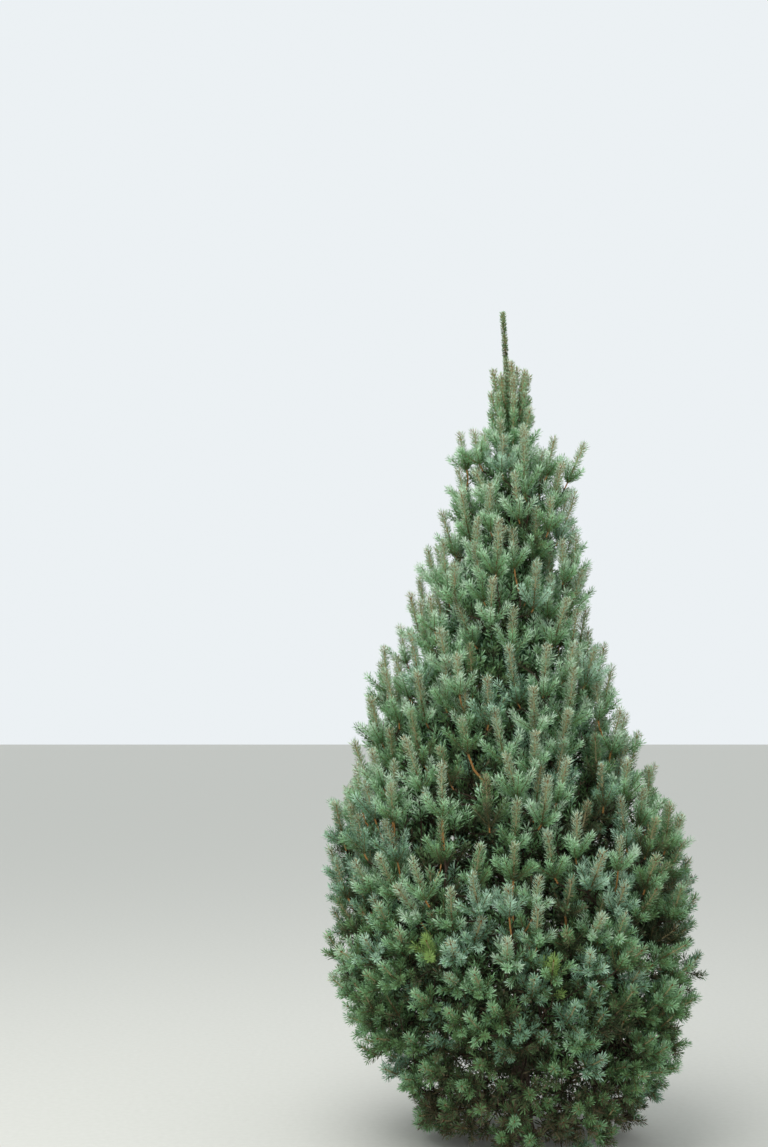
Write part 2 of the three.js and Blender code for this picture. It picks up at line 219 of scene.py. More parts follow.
class Stream:
    """The source's repeatable stream of numbers from 0 to 1.

    The state is the factor times the last one plus the offset, in 32 bits.
    """

    FACTOR = 1664525
    OFFSET = 1013904223
    SCATTER = 2654435761
    RANGE = 1 << 32

    def __init__(self, seed: int) -> None:
        """Start the stream, two numbers in.

        Args:
            seed: The number that sets the stream apart from others.
        """
        self.state = (seed + 1) * self.SCATTER % self.RANGE
        self.next()
        self.next()

    def next(self) -> float:
        """Return the next number."""
        self.state = (self.state * self.FACTOR + self.OFFSET) % self.RANGE
        return self.state / self.RANGE

    def either(self, size: float) -> float:
        """Return a number that lies evenly between minus and plus size."""
        return (self.next() * 2.0 - 1.0) * size


@dataclass
class Surface:
    """Points in millimetres with triangles between them and a material slot for each triangle."""

    points: Array
    faces: Array
    slots: Array

    @staticmethod
    def joined(parts: list[Surface]) -> Surface:
        """Return one surface of all the parts, each one's faces moved on by the points before it."""
        offsets = np.cumsum([0] + [len(part.points) for part in parts[:-1]])
        return Surface(
            np.concatenate([part.points for part in parts]),
            np.concatenate([part.faces + offset for part, offset in zip(parts, offsets)]),
            np.concatenate([part.slots for part in parts]),
        )

    def piece(self, name: str, materials: list[Material], shaded_smooth: bool) -> bpy.types.Object:
        """Return a Blender object of this surface, at the origin.

        Args:
            name: The piece's name.
            materials: The materials, in the order that the slots count them.
            shaded_smooth: Whether its faces are shaded as one curved surface.

        Returns:
            The object, linked into the scene.
        """
        mesh = bpy.data.meshes.new(name)
        mesh.vertices.add(len(self.points))
        mesh.vertices.foreach_set("co", (self.points * MM).astype(np.float32).ravel())
        mesh.loops.add(self.faces.size)
        mesh.loops.foreach_set("vertex_index", self.faces.astype(np.int32).ravel())
        mesh.polygons.add(len(self.faces))
        mesh.polygons.foreach_set("loop_start", np.arange(0, self.faces.size, 3, dtype=np.int32))
        for material in materials:
            mesh.materials.append(material)
        mesh.polygons.foreach_set("material_index", self.slots.astype(np.int32))
        mesh.polygons.foreach_set("use_smooth", np.full(len(self.faces), shaded_smooth))
        mesh.update(calc_edges=True)
        piece = bpy.data.objects.new(name, mesh)
        bpy.context.scene.collection.objects.link(piece)
        return piece

    def dress(
        self, name: str, materials: list[Material], slot: str, nodes: list[str], shaded_smooth: bool = False
    ) -> None:
        """Make a piece of this surface, and let it stand for nodes of the part.

        Args:
            name: The piece's name.
            materials: The materials, in the order that the slots count them.
            slot: The part's material slot that it belongs to; not used.
            nodes: The nodes that it stands for.
            shaded_smooth: Whether its faces are shaded as one curved surface.
        """
        piece = self.piece(name, materials, shaded_smooth)
        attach(piece, "root")
        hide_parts(*nodes)
        LOG.info("%s: %d triangles", name, len(self.faces))


def tubes(lines: Array, radii: Array, sides: int, slots: Array) -> Surface:
    """Return closed tubes along many lines at once.

    A point is the line's point plus its radius times (side cos a + up sin a), with a stepped round.

    Args:
        lines: The tubes' centre lines, shape (n, k, 3).
        radii: The radius at each point of each line, shape (n, k).
        sides: Sides of each tube.
        slots: A material slot for each tube and each of its k - 1 bands, shape (n, k - 1).

    Returns:
        All the tubes as one surface, with a flat cap on each end.
    """
    n, k, _ = lines.shape
    tangents = unit(np.gradient(lines, axis=1))
    whole = unit(lines[:, -1] - lines[:, 0])
    reference = np.where(np.abs(whole[:, 2:3]) > STEEP, EAST, UP)[:, None]
    side = unit(np.cross(tangents, reference))
    up = np.cross(side, tangents)
    angle = 2 * math.pi * np.arange(sides) / sides
    ring = side[:, :, None] * np.cos(angle)[:, None] + up[:, :, None] * np.sin(angle)[:, None]
    points = lines[:, :, None] + ring * radii[:, :, None, None]
    index = np.arange(n * k * sides).reshape(n, k, sides)
    low, high = index[:, :-1], index[:, 1:]
    low_next, high_next = np.roll(low, -1, axis=2), np.roll(high, -1, axis=2)
    walls = np.stack([low, high, low_next, low_next, high, high_next], axis=-1).reshape(n, -1, 3)
    wall_slots = np.repeat(slots, 2 * sides, axis=1)
    fan = np.arange(1, sides - 1)
    foot, tip = index[:, 0], index[:, -1]
    foot_cap = np.stack([foot[:, :1].repeat(sides - 2, 1), foot[:, fan], foot[:, fan + 1]], axis=-1)
    tip_cap = np.stack([tip[:, :1].repeat(sides - 2, 1), tip[:, fan + 1], tip[:, fan]], axis=-1)
    faces = np.concatenate([walls, foot_cap, tip_cap], axis=1).reshape(-1, 3)
    caps = [np.repeat(slots[:, at], sides - 2).reshape(n, -1) for at in (0, -1)]
    return Surface(points.reshape(-1, 3), faces, np.concatenate([wall_slots, *caps], axis=1).ravel())


def linear(colour: str) -> tuple[float, float, float, float]:
    """Return a colour as linear red, green, blue and alpha.

    An sRGB share v becomes v / 12.92 where it is dark, and else ((v + 0.055) / 1.055)^2.4.

    Args:
        colour: The sRGB colour as a hex value.

    Returns:
        The four shares.
    """
    values = [int(colour[i : i + 2], 16) / 255.0 for i in (1, 3, 5)]
    red, green, blue = (v / 12.92 if v <= 0.04045 else ((v + 0.055) / 1.055) ** 2.4 for v in values)
    return red, green, blue, 1.0


def connect(tree: Tree, node: bpy.types.Node, inputs: dict[str | int, object]) -> None:
    """Link or set a node's inputs.

    Args:
        tree: The material's node tree.
        node: The node.
        inputs: For each input, by name or number, a socket to link or a value to set.
    """
    for name, value in inputs.items():
        if isinstance(value, bpy.types.NodeSocket):
            tree.links.new(value, node.inputs[name])
        else:
            node.inputs[name].default_value = value


def add_node(
    tree: Tree, kind: str, inputs: dict[str | int, object] | None = None, **settings: object
) -> bpy.types.Node:
    """Add a node with its settings and its inputs.

    Args:
        tree: The material's node tree.
        kind: The node's type name.
        inputs: For each input, by name or number, a socket to link or a value to set.
        settings: Properties of the node.

    Returns:
        The node.
    """
    node = tree.nodes.new(kind)
    for name, value in settings.items():
        setattr(node, name, value)
    connect(tree, node, inputs or {})
    return node


def new_material(name: str) -> tuple[Material, Tree, bpy.types.Node, bpy.types.NodeSocket]:
    """Make a material.

    Args:
        name: Its name, that of the real material.

    Returns:
        The material, its node tree, its shader and its Object coordinates.
    """
    material = bpy.data.materials.new(name)
    material.use_nodes = True
    tree = material.node_tree
    place = add_node(tree, "ShaderNodeTexCoord").outputs["Object"]
    return material, tree, tree.nodes["Principled BSDF"], place


@dataclass(frozen=True)
class NeedleFinish:
    """Spruce needle under a film of blue-grey wax: the wax gives it a pale, quite matt look.

    Real needles differ one by one. Here the colour varies in patches of a few needles, because single
    ones are too fine to show. The noise lies almost wholly between its two usual values.
    """

    name: str
    colour: str
    roughness: float = 0.62
    sheen: float = 0.3
    variation: float = 0.16
    patch_mm: float = 21.0
    detail: float = 2.0
    usual_noise: Pair = (0.3, 0.7)

    def material(self) -> Material:
        """Return the material: one colour, a little lighter and darker from place to place."""
        material, tree, shader, place = new_material(self.name)
        patches = {"Vector": place, "Scale": 1.0 / (self.patch_mm * MM), "Detail": self.detail}
        span = {
            "Value": add_node(tree, "ShaderNodeTexNoise", patches).outputs["Fac"],
            "From Min": self.usual_noise[0],
            "From Max": self.usual_noise[1],
            "To Min": 1.0 - self.variation,
            "To Max": 1.0 + self.variation,
        }
        level = add_node(tree, "ShaderNodeMapRange", span).outputs["Result"]
        tint = add_node(tree, "ShaderNodeHueSaturation", {"Color": linear(self.colour), "Value": level})
        connect(tree, shader, {"Base Color": tint.outputs["Color"], "Roughness": self.roughness})
        connect(tree, shader, {"Specular IOR Level": self.sheen})
        return material


@dataclass(frozen=True)
class BarkFinish:
    """Spruce bark: thin papery scales on the trunk, finer and redder on the limbs and twigs.

    One cell of the pattern is one scale of bark, at its real width. It is stretched up the wood, and
    the finer grain on it has a few waves to a scale. Gaps are the share of a scale's width that is dark.
    """

    name: str
    light: str
    dark: str
    scale_mm: float
    relief_mm: float
    roughness: float = 0.85
    sheen: float = 0.25
    upright: float = 0.45
    grain_to_scale: float = 2.5
    grain_detail: float = 4.0
    gaps: float = 0.12
    contrast: float = 0.75
    least_light: float = 0.12
    bump: float = 0.8

    def material(self) -> Material:
        """Return the material: light scales with dark gaps, stretched up the wood, and their relief."""
        material, tree, shader, place = new_material(self.name)
        cells = 1.0 / (self.scale_mm * MM)
        upright = {"Vector": place, "Scale": (1.0, 1.0, self.upright)}
        stretch = add_node(tree, "ShaderNodeMapping", upright).outputs["Vector"]
        scales = {"Vector": stretch, "Scale": cells}
        flakes = add_node(tree, "ShaderNodeTexVoronoi", scales, feature="DISTANCE_TO_EDGE")
        fine = {"Vector": stretch, "Scale": self.grain_to_scale * cells, "Detail": self.grain_detail}
        grain = add_node(tree, "ShaderNodeTexNoise", fine)
        edge = {"Value": flakes.outputs["Distance"], "From Max": self.gaps, "To Max": self.contrast}
        lit = add_node(tree, "ShaderNodeMapRange", edge)
        both = {0: lit.outputs["Result"], 1: grain.outputs["Fac"], 2: self.least_light}
        amount = add_node(tree, "ShaderNodeMath", both, operation="MULTIPLY_ADD").outputs["Value"]
        shades = {"Factor": amount, "A": linear(self.dark), "B": linear(self.light)}
        colour = add_node(tree, "ShaderNodeMix", shades, data_type="RGBA").outputs["Result"]
        height = {"Height": amount, "Distance": self.relief_mm * MM, "Strength": self.bump}
        relief = add_node(tree, "ShaderNodeBump", height).outputs["Normal"]
        connect(tree, shader, {"Base Color": colour, "Normal": relief, "Roughness": self.roughness})
        connect(tree, shader, {"Specular IOR Level": self.sheen})
        return material


NEEDLES = {
    # New growth with its whole bloom of wax: the palest grey-green, at the tips, where it is partly painted
    # light.
    Tone.PALE: NeedleFinish("waxed_needle_pale", "#BCD3B8"),
    # New growth a little further down: the same bloom with more green in it.
    Tone.FRESH: NeedleFinish("waxed_needle_fresh", "#A4C99F"),
    # Half-grown bloom: the soft middle green that most of the tree shows.
    Tone.MID: NeedleFinish("waxed_needle_mid", "#87B181"),
    # Worn bloom near the shoot's foot: a fuller green, partly painted shade that gives the brushes their
    # depth.
    Tone.DEEP: NeedleFinish("waxed_needle_deep", "#6B8F5A"),
    # Needles of past years, without wax: dull olive green, also used as painted shade inside and low in the
    # crown.
    Tone.SHADE: NeedleFinish("needle_old", "#5A7048"),
    # Old needles inside the crown, dusty and thin, deepened as painted shade: the dark between the tufts.
    Tone.DUSK: NeedleFinish("needle_old_inside", "#434F33"),
    # Needle ends tanned by frost and sun: the warm cast of the upright shoots.
    Tone.TAWNY: NeedleFinish("needle_tawny_tip", "#A39A76"),
    # The needles of a few weak tufts: a clear yellow-green.
    Tone.YELLOW: NeedleFinish("needle_yellow_green", "#86A35A"),
    # Dead needles that still hang on inside: rough, lightless brown.
    Tone.DRY: NeedleFinish("needle_dry_inside", "#6E634B", roughness=0.8),
    # The thickest bloom: pale and bluish.
    Tone.WAXED: NeedleFinish("thickly_waxed_needle", "#ACCCB3"),
    # The same nearer the wood: a cool, deeper green.
    Tone.WAXED_DEEP: NeedleFinish("thickly_waxed_needle_deep", "#7BA083"),
}
WOODS = {
    # Bark of this year and the last: smooth and orange, it shines out between the tufts.
    Wood.YOUNG: BarkFinish("young_twig_bark", "#D3A066", "#A06C3C", scale_mm=3.0, relief_mm=0.3),
    # Bark of the side shoots: tan with a green cast, almost lost among the needles.
    Wood.SIDE: BarkFinish("side_shoot_bark", "#8F8259", "#5F5236", scale_mm=3.0, relief_mm=0.3),
    # Bark of old twigs: grey-brown and rough, dark in the crown's shade.
    Wood.OLD: BarkFinish("old_twig_bark", "#594839", "#2A211A", scale_mm=4.0, relief_mm=0.4),
    # Bark of an upright shoot: pale straw, a light line up the middle of its brush.
    Wood.STEM: BarkFinish("leading_shoot_bark", "#CFC39A", "#A8976F", scale_mm=3.0, relief_mm=0.3),
    # Bud scales with a little resin: brown, and less matt than bark.
    Wood.BUD: BarkFinish(
        "resinous_bud_scale", "#A8743F", "#5B3820", scale_mm=1.5, relief_mm=0.2, roughness=0.6
    ),
}
# Trunk bark in thin grey scales: a rough, broken surface that takes the light in flecks.
TRUNK_BARK = BarkFinish("scaly_trunk_bark", "#8D7C6C", "#3E322A", scale_mm=11.0, relief_mm=1.6)
# Limb bark, tighter and browner: it looks almost smooth.
LIMB_BARK = BarkFinish("smooth_limb_bark", "#705C49", "#3D3128", scale_mm=6.0, relief_mm=0.7)


@dataclass(frozen=True)
class Trunk:
    """The trunk's sizes, as in the source, and its skin of bark.

    The bark's scales are drawn about twice as large as real ones, so that they show. The skin is sunk a
    little, so that its relief stands about as far out as the source's solid does.
    """

    height: float = 3200.0
    top: float = 3165.0
    radius: float = 36.0
    tip_radius: float = 3.0
    taper_power: float = 0.9
    flare_radius: float = 22.0
    flare_height: float = 90.0
    flare_lobes: int = 5
    lobe_depth: float = 0.14
    lean: Pair = (-10.0, 14.0)
    bow: float = 8.0
    leader_foot: float = 2735.0
    leader_kick: float = -30.0
    sides: int = 32
    rings: int = 300
    cap_height: float = 4.0
    scale_width: float = 15.0
    scale_height: float = 24.0
    scale_relief: float = 1.3
    fewest_scales: float = 5.0
    row_wave: float = 0.35
    wave_heights: tuple[float, float, float] = (70.0, 31.0, 47.0)
    swell: float = 0.8
    sink: float = 0.9

    def centre(self, z: Array) -> Array:
        """Return the trunk's centre: its lean, one slight bow, and the leader's kick.

        The bow is a sine over the whole height, half as large in depth as it is sideways.

        Args:
            z: Heights.

        Returns:
            The points, one for each height.
        """
        share = z / self.height
        bow = self.bow * np.sin(2 * math.pi * share)
        above = np.maximum(0.0, (z - self.leader_foot) / (self.height - self.leader_foot))
        x = self.lean[0] * share + bow + self.leader_kick * above
        return np.stack([x, self.lean[1] * share - bow / 2, z], axis=-1)

    def radius_at(self, z: Array) -> Array:
        """Return the radius at each height: the taper plus a root flare that dies away upwards."""
        share = np.clip(z / self.top, 0.0, 1.0) ** self.taper_power
        return mix(self.radius, self.tip_radius, share) + self.flare_radius * np.exp(-z / self.flare_height)

    def relief(self, around: Array, z: Array, radius: Array) -> Array:
        """Return the bark's relief: overlapping scales in staggered rows, each one lifted at its foot.

        A scale's share across is s and up is t, both 0 to 1, and it stands (1 - t)^2 sin(pi s) high.
        Slow waves shift the rows and swell the bark.

        Args:
            around: Angles round the trunk.
            z: Heights.
            radius: The trunk's radius there.

        Returns:
            How far the bark stands out.
        """
        shift, first, second = self.wave_heights
        row = z / self.scale_height + self.row_wave * np.sin(3 * around + z / shift)
        count = np.maximum(self.fewest_scales, np.round(2 * math.pi * self.radius / self.scale_width))
        s = (around / (2 * math.pi) * count + 0.5 * np.floor(row)) % 1.0
        t = row % 1.0
        wave = 0.5 + 0.5 * np.sin(5 * around + z / first) * np.sin(2 * around - z / second)
        size = self.scale_relief * radius / self.radius
        return size * (np.sin(math.pi * s) * (1.0 - t) ** 2 * mix(0.5, 1.0, wave) + self.swell * wave)

    def surface(self) -> Surface:
        """Return the bark: a grid of angle and height, closed at the flat foot and at the tip."""
        z = self.top * np.linspace(0.0, 1.0, self.rings)
        angle = 2 * math.pi * np.arange(self.sides) / self.sides
        zz, aa = np.meshgrid(z, angle, indexing="ij")
        lobes = 1 + self.lobe_depth * np.cos(self.flare_lobes * aa) * np.exp(-zz / self.flare_height)
        plain = self.radius_at(zz)
        radius = plain * lobes + self.relief(aa, zz, plain) - self.sink
        points = self.centre(zz)
        points[..., 0] += radius * np.sin(aa)
        points[..., 1] -= radius * np.cos(aa)
        index = np.arange(points[..., 0].size).reshape(self.rings, self.sides)
        low, high = index[:-1], index[1:]
        low_next, high_next = np.roll(low, -1, axis=1), np.roll(high, -1, axis=1)
        walls = np.stack([low, low_next, high, low_next, high_next, high], axis=-1).reshape(-1, 3)
        ends = self.centre(np.array([0.0, self.top + self.cap_height]))
        foot, tip = index.size, index.size + 1
        round_foot = np.stack([np.roll(index[0], -1), index[0], np.full(self.sides, foot)], axis=-1)
        round_tip = np.stack([index[-1], np.roll(index[-1], -1), np.full(self.sides, tip)], axis=-1)
        faces = np.concatenate([walls, round_foot, round_tip])
        return Surface(np.concatenate([points.reshape(-1, 3), ends]), faces, np.zeros(len(faces), int))

    def build(self) -> None:
        """Make the bark, which stands for the trunk."""
        bark = [TRUNK_BARK.material()]
        self.surface().dress("trunk_bark", bark, "trunk_bark", ["trunk"], shaded_smooth=True)


# The source's outline: a height, the crown's sideways centre there, and its reach from that centre.
OUTLINE = (
    (0, 40, 450),
    (290, 20, 594),
    (730, -35, 740),
    (1260, -60, 668),
    (1500, -100, 554),
    (1960, -74, 390),
    (2360, -10, 302),
    (2600, -20, 216),
    (2760, 0, 114),
    (2930, -5, 68),
)
# The same crown with more stations, for the tufts.
FINE_OUTLINE = (
    (0, 36, 428),
    (140, 52, 486),
    (290, 20, 582),
    (365, 2, 636),
    (730, -35, 738),
    (1100, -40, 706),
    (1260, -58, 664),
    (1500, -98, 556),
    (1750, -92, 474),
    (1960, -74, 392),
    (2200, -38, 338),
    (2360, -10, 304),
    (2520, -6, 256),
    (2600, -25, 218),
    (2680, -48, 180),
    (2720, -20, 132),
    (2760, 0, 112),
    (2930, -5, 68),
)


@dataclass(frozen=True)
class Crown:
    """The crown's outline: its height, centre line and reach from it at each station.

    The limbs keep to the source's outline, and the tufts to one with more stations.
    """

    trunk: Trunk
    outline: tuple[tuple[float, float, float], ...] = OUTLINE
    ground_clearance: float = 12.0
    ceiling: float = 2727.0
    limb_clearance: float = 6.0

    def axis(self, z: Array) -> Array:
        """Return the crown's centre at each height: it sways more than the trunk does."""
        heights, centres, _ = zip(*self.outline)
        return np.stack([np.interp(z, heights, centres), self.trunk.centre(z)[..., 1], z], axis=-1)

    def radius(self, z: Array) -> Array:
        """Return how far the foliage reaches from the crown's centre at each height."""
        heights, _, radii = zip(*self.outline)
        return np.interp(z, heights, radii)

    def outward(self, points: Array) -> tuple[Array, Array]:
        """Measure points from the crown's centre line.

        Args:
            points: The points, with their coordinates last.

        Returns:
            Each point's distance from the line, and the level unit vector from it to the point.
        """
        away = (points - self.axis(points[..., 2]))[..., :2]
        distance = np.linalg.norm(away, axis=-1)
        level = away / np.maximum(distance, TINY)[..., None]
        return distance, np.concatenate([level, np.zeros_like(level[..., :1])], axis=-1)

    def depth(self, points: Array) -> Array:
        """Return how far inside the crown's outline each point lies, less than 0 outside it."""
        return self.radius(points[..., 2]) - self.outward(points)[0]

    def holds(self, points: Array) -> Array:
        """Return whether each point is in the crown: within its outline, its floor and its ceiling."""
        z = points[..., 2]
        return (self.depth(points) > 0) & (z > self.ground_clearance) & (z < self.ceiling)

    def clear_of_trunk(self, points: Array) -> Array:
        """Return whether each point is clear of the trunk."""
        away = (points - self.trunk.centre(points[..., 2]))[..., :2]
        return np.linalg.norm(away, axis=-1) > self.trunk.radius_at(points[..., 2]) + self.limb_clearance


@dataclass(frozen=True)
class Whorl:
    """One ring of limbs: where it leaves the trunk, and how its limbs turn upwards as they go out.

    The turn is the first limb's heading, set_out and finish are its climbs, all in degrees. The bough
    is the share of a limb that is bare of twigs in the source, and the size is that of its sprays.
    """

    height: float
    limbs: int
    turn: float
    set_out: float
    finish: float
    bough: float
    radius: float
    size: float


WHORLS = (
    Whorl(150, 5, 14, -4, 16, 0.36, 11, 0.95),
    Whorl(290, 5, 50, 9, 38, 0.36, 13, 1),
    Whorl(530, 5, 4, 22, 56, 0.34, 13, 1),
    Whorl(880, 5, 40, 36, 72, 0.32, 12, 1),
    Whorl(1260, 5, 6, 42, 76, 0, 10, 0.95),
    Whorl(1650, 5, 44, 48, 79, 0, 8, 0.9),
    Whorl(2060, 4, 15, 54, 81, 0, 7, 0.85),
    Whorl(2430, 4, 60, 60, 83, 0, 6, 0.75),
)


@dataclass
class Limb:
    """One limb: its line in steps, its own space's spine, and the step where it enters its foliage."""

    name: str
    whorl: int
    line: Array
    spine: Array
    entry: int
    radius: float


@dataclass(frozen=True)
class LimbRule:
    """The source's rule for the limbs' lines, and the bark that covers them.

    A collar is a share of the radius more at the trunk, and it dies away over a length. A knot is a
    share more at every old node, over a length to each side.
    """

    crown: Crown
    height_jitter: float = 45.0
    turn_jitter: float = 9.0
    pitch_jitter: float = 5.0
    drift: float = 14.0
    step: float = 12.0
    spray_length: float = 185.0
    spray_sink: float = 0.2
    spine_points: int = 7
    first_entry: int = 2
    seeds_to_whorl: int = 100
    bough_taper: float = 0.62
    tip_radius: float = 2.2
    sides: int = 8
    rings: int = 30
    collar: Pair = (0.35, 45.0)
    knot: Pair = (0.12, 9.0)
    knot_every: float = 95.0

    def line(self, whorl: Whorl, index: int, seed: int) -> Array:
        """Return a limb's line from the trunk's centre outwards.

        Each step climbs at an angle between the whorl's two, by the share of the way to the outline.

        Args:
            whorl: The limb's whorl.
            index: The limb's place in it.
            seed: The seed of its stream.

        Returns:
            The points, one step apart.
        """
        stream = Stream(seed)
        turn = whorl.turn + 360.0 * index / whorl.limbs + stream.either(self.turn_jitter)
        pitch = stream.either(self.pitch_jitter)
        drift = stream.either(self.drift)
        p = self.crown.trunk.centre(np.array(whorl.height + stream.either(self.height_jitter)))
        points = []
        reach = self.spray_length * whorl.size * (1 - self.spray_sink)
        while True:
            points.append(p)
            share = min(1.0, float(self.crown.outward(p)[0] / self.crown.radius(p[2])))
            climb = math.radians(mix(whorl.set_out, whorl.finish, share) + pitch)
            forward = pointing(np.array(math.radians(turn + drift * share)), np.array(climb))
            p = p + forward * self.step
            if not self.crown.holds(p + forward * reach):
                return np.array(points)

    def limbs(self) -> list[Limb]:
        """Return all the limbs, whorl by whorl."""
        made = []
        for w, whorl in enumerate(WHORLS):
            for i in range(whorl.limbs):
                line = self.line(whorl, i, self.seeds_to_whorl * w + i)
                spine = line[np.round(np.linspace(0, len(line) - 1, self.spine_points)).astype(int)]
                entry = max(self.first_entry, int((len(line) - 1) * whorl.bough + 0.5))
                made.append(Limb(f"{w + 1}{'abcde'[i]}", w, line, spine, entry, whorl.radius))
        return made

    def even(self, line: Array) -> Array:
        """Return points at even shares of a line, one for each ring of its bark."""
        share, steps = np.linspace(0.0, 1.0, self.rings), np.linspace(0, 1, len(line))
        return np.stack([np.interp(share, steps, line[:, axis]) for axis in range(3)], axis=-1)

    def surface(self, limbs: list[Limb]) -> Surface:
        """Return the limbs' bark: tapering tubes with a collar at the trunk and rings at the old nodes.

        The radius falls evenly to the place where the limb enters its foliage, and from there to its
        tip. A collar or a knot of share a and length b is a factor 1 + a exp(-x/b) or 1 + a exp(-(x/b)^2).

        Args:
            limbs: The limbs.

        Returns:
            All their bark as one surface.
        """
        lengths = np.array([(len(limb.line) - 1) * self.step for limb in limbs])[:, None]
        base = np.array([limb.radius for limb in limbs])[:, None]
        along = np.linspace(0.0, 1.0, self.rings)[None] * lengths
        entry = np.array([limb.entry for limb in limbs])[:, None] * self.step
        entry_radius = base * self.bough_taper
        radii = np.where(
            along < entry,
            mix(base, entry_radius, along / np.maximum(entry, 1.0)),
            mix(entry_radius, self.tip_radius, (along - entry) / np.maximum(lengths - entry, 1.0)),
        )
        collar = 1 + self.collar[0] * np.exp(-along / self.collar[1])
        off_knot = (along % self.knot_every) - self.knot_every / 2
        knots = 1 + self.knot[0] * np.exp(-((off_knot / self.knot[1]) ** 2))
        slots = np.zeros((len(limbs), self.rings - 1), int)
        lines = np.stack([self.even(limb.line) for limb in limbs])
        return tubes(lines, radii * collar * knots, self.sides, slots)

    def build(self, limbs: list[Limb]) -> None:
        """Make the limbs' bark, which stands for the boughs that the part has.

        Args:
            limbs: The limbs, of which the upper whorls' have no bough in the part.
        """
        boughs = [f"bough_{limb.name}" for limb in limbs if WHORLS[limb.whorl].bough > 0]
        bark = [LIMB_BARK.material()]
        self.surface(limbs).dress("limb_bark", bark, "bough_bark", boughs, shaded_smooth=True)


@dataclass(frozen=True)
class Clumps:
    """A slow wave through the crown, from -1 in its hollows to 1 on its clumps.

    It is the mean of some cosines, each of the place along a chosen direction over its wavelength.
    """

    seed: int
    cosines: int = 7
    wavelengths: Pair = (210.0, 460.0)
    strength: float = 2.2

    def at(self, points: Array) -> Array:
        """Return the wave at each point.

        Args:
            points: The points, shape (n, 3).

        Returns:
            The wave's values, held between -1 and 1.
        """
        random = np.random.default_rng(self.seed)
        ways = unit(random.normal(size=(self.cosines, 3))) * 2 * math.pi
        ways = ways / random.uniform(*self.wavelengths, (self.cosines, 1))
        waves = np.cos(points @ ways.T + random.uniform(0, 2 * math.pi, self.cosines))
        return np.clip(self.strength * np.mean(waves, axis=1), -1, 1)


@dataclass
class Many:
    """Many things of one kind, with an array for each of their measures."""

    def some(self, which: Array) -> Self:
        """Return those that a mask or a list of places picks."""
        return type(self)(*(getattr(self, name)[which] for name in self.__dataclass_fields__))

    @classmethod
    def joined(cls, parts: list[Self]) -> Self:
        """Return all the parts as one set."""
        names = cls.__dataclass_fields__
        return cls(*(np.concatenate([getattr(part, name) for part in parts]) for name in names))


@dataclass
class Twigs(Many):
    """Many twigs: where each leaves its parent and ends, with its directions, radius and limb.

    The parent is the number of the twig that it leaves, or -1 for a limb. The share is how far along
    that parent it leaves, until is the share of its own length that is drawn, and fresh says whether
    its end is this year's growth, in the open.
    """

    start: Array
    leaving: Array
    end: Array
    arriving: Array
    radius: Array
    limb: Array
    parent: Array
    share: Array
    until: Array
    fresh: Array

    LOW = 700.0
    LIT_CLIMB = 0.72

    def lines(self, count: int) -> Array:
        """Return each twig's bent line, up to the share of it that is drawn."""
        return bent_lines(self.start, self.leaving, self.end, self.arriving, self.until, count)

    def places(self, which: Array, share: Array, steps: int) -> tuple[Array, Array]:
        """Return places on the twigs' lines, each moved to the nearest of some even steps.

        Args:
            which: The number of each place's twig.
            share: How far along the twig's drawn line it is.
            steps: How many steps a line has.

        Returns:
            The places, and the lines' unit directions there.
        """
        lines = self.lines(steps + 1)
        at = np.round(share * steps).astype(int)
        ahead = lines[which, np.minimum(at + 1, steps)] - lines[which, np.maximum(at - 1, 0)]
        return lines[which, at], unit(ahead)

    def wood(self) -> Surface:
        """Return the twigs' wood: bent three-sided tubes in five bands, which taper to their tufts.

        It is orange where it is fresh and climbs steeply, tan next to a tuft near the ground, and else
        dark. A fresh twig keeps more of its radius to its end.
        """
        lines = self.lines(6)
        fresh = self.fresh[:, None]
        taper = np.where(fresh, np.linspace(1.0, 0.95, 6), np.linspace(1.0, 0.7, 6))
        climb = unit(np.diff(lines, axis=1))[..., 2]
        low = (lines[:, -1, 2] < self.LOW)[:, None]
        bright = fresh & (np.arange(5) > 1) & (climb > self.LIT_CLIMB) & ~low
        tan = fresh & (np.arange(5) > 3) & low
        slots = np.where(bright, Wood.YOUNG, np.where(tan, Wood.SIDE, Wood.OLD))
        return tubes(lines, self.radius[:, None] * taper, 3, slots)


@dataclass
class Shoots(Many):
    """Many shoots: foot, direction, bend, length, needles, tone and limb.

    Density is the number of needles to a millimetre. Tawny and waxed are the shares of such needles,
    the spread is how wide the needles stand, 1 in full, and the crest is how many fan over the tip.
    """

    foot: Array
    direction: Array
    bend: Array
    length: Array
    needle: Array
    width: Array
    density: Array
    tone: Array
    tawny: Array
    waxed: Array
    spread: Array
    crest: Array
    leading: Array
    limb: Array

    @classmethod
    def made(cls, foot: Array, **measures: Array | float) -> Shoots:
        """Return shoots, where one value of a measure can hold for them all.

        Args:
            foot: Where each shoot stands, shape (n, 3).
            measures: The other measures by name. Those left out are those of a plain side shoot.

        Returns:
            The shoots, with an array for every measure.
        """
        plain = {"bend": 0.0, "tawny": 0.0, "waxed": 0.0, "spread": 1.0, "crest": 0, "leading": False}
        full = {**plain, **measures}
        shapes = {name: (len(foot), 3) if name in ("direction", "bend") else len(foot) for name in full}
        return cls(foot=foot, **{name: np.broadcast_to(full[name], shapes[name]) for name in full})

    def at(self, share: Array) -> tuple[Array, Array]:
        """Return each shoot's point at a share of its length, and its direction there.

        The point is foot + L (t d + t^2 b) and the direction is d + 2 t b.

        Args:
            share: The share t for each shoot.

        Returns:
            The points and the unit directions.
        """
        t = share[:, None]
        point = self.foot + self.length[:, None] * (t * self.direction + t * t * self.bend)
        return point, unit(self.direction + 2 * t * self.bend)


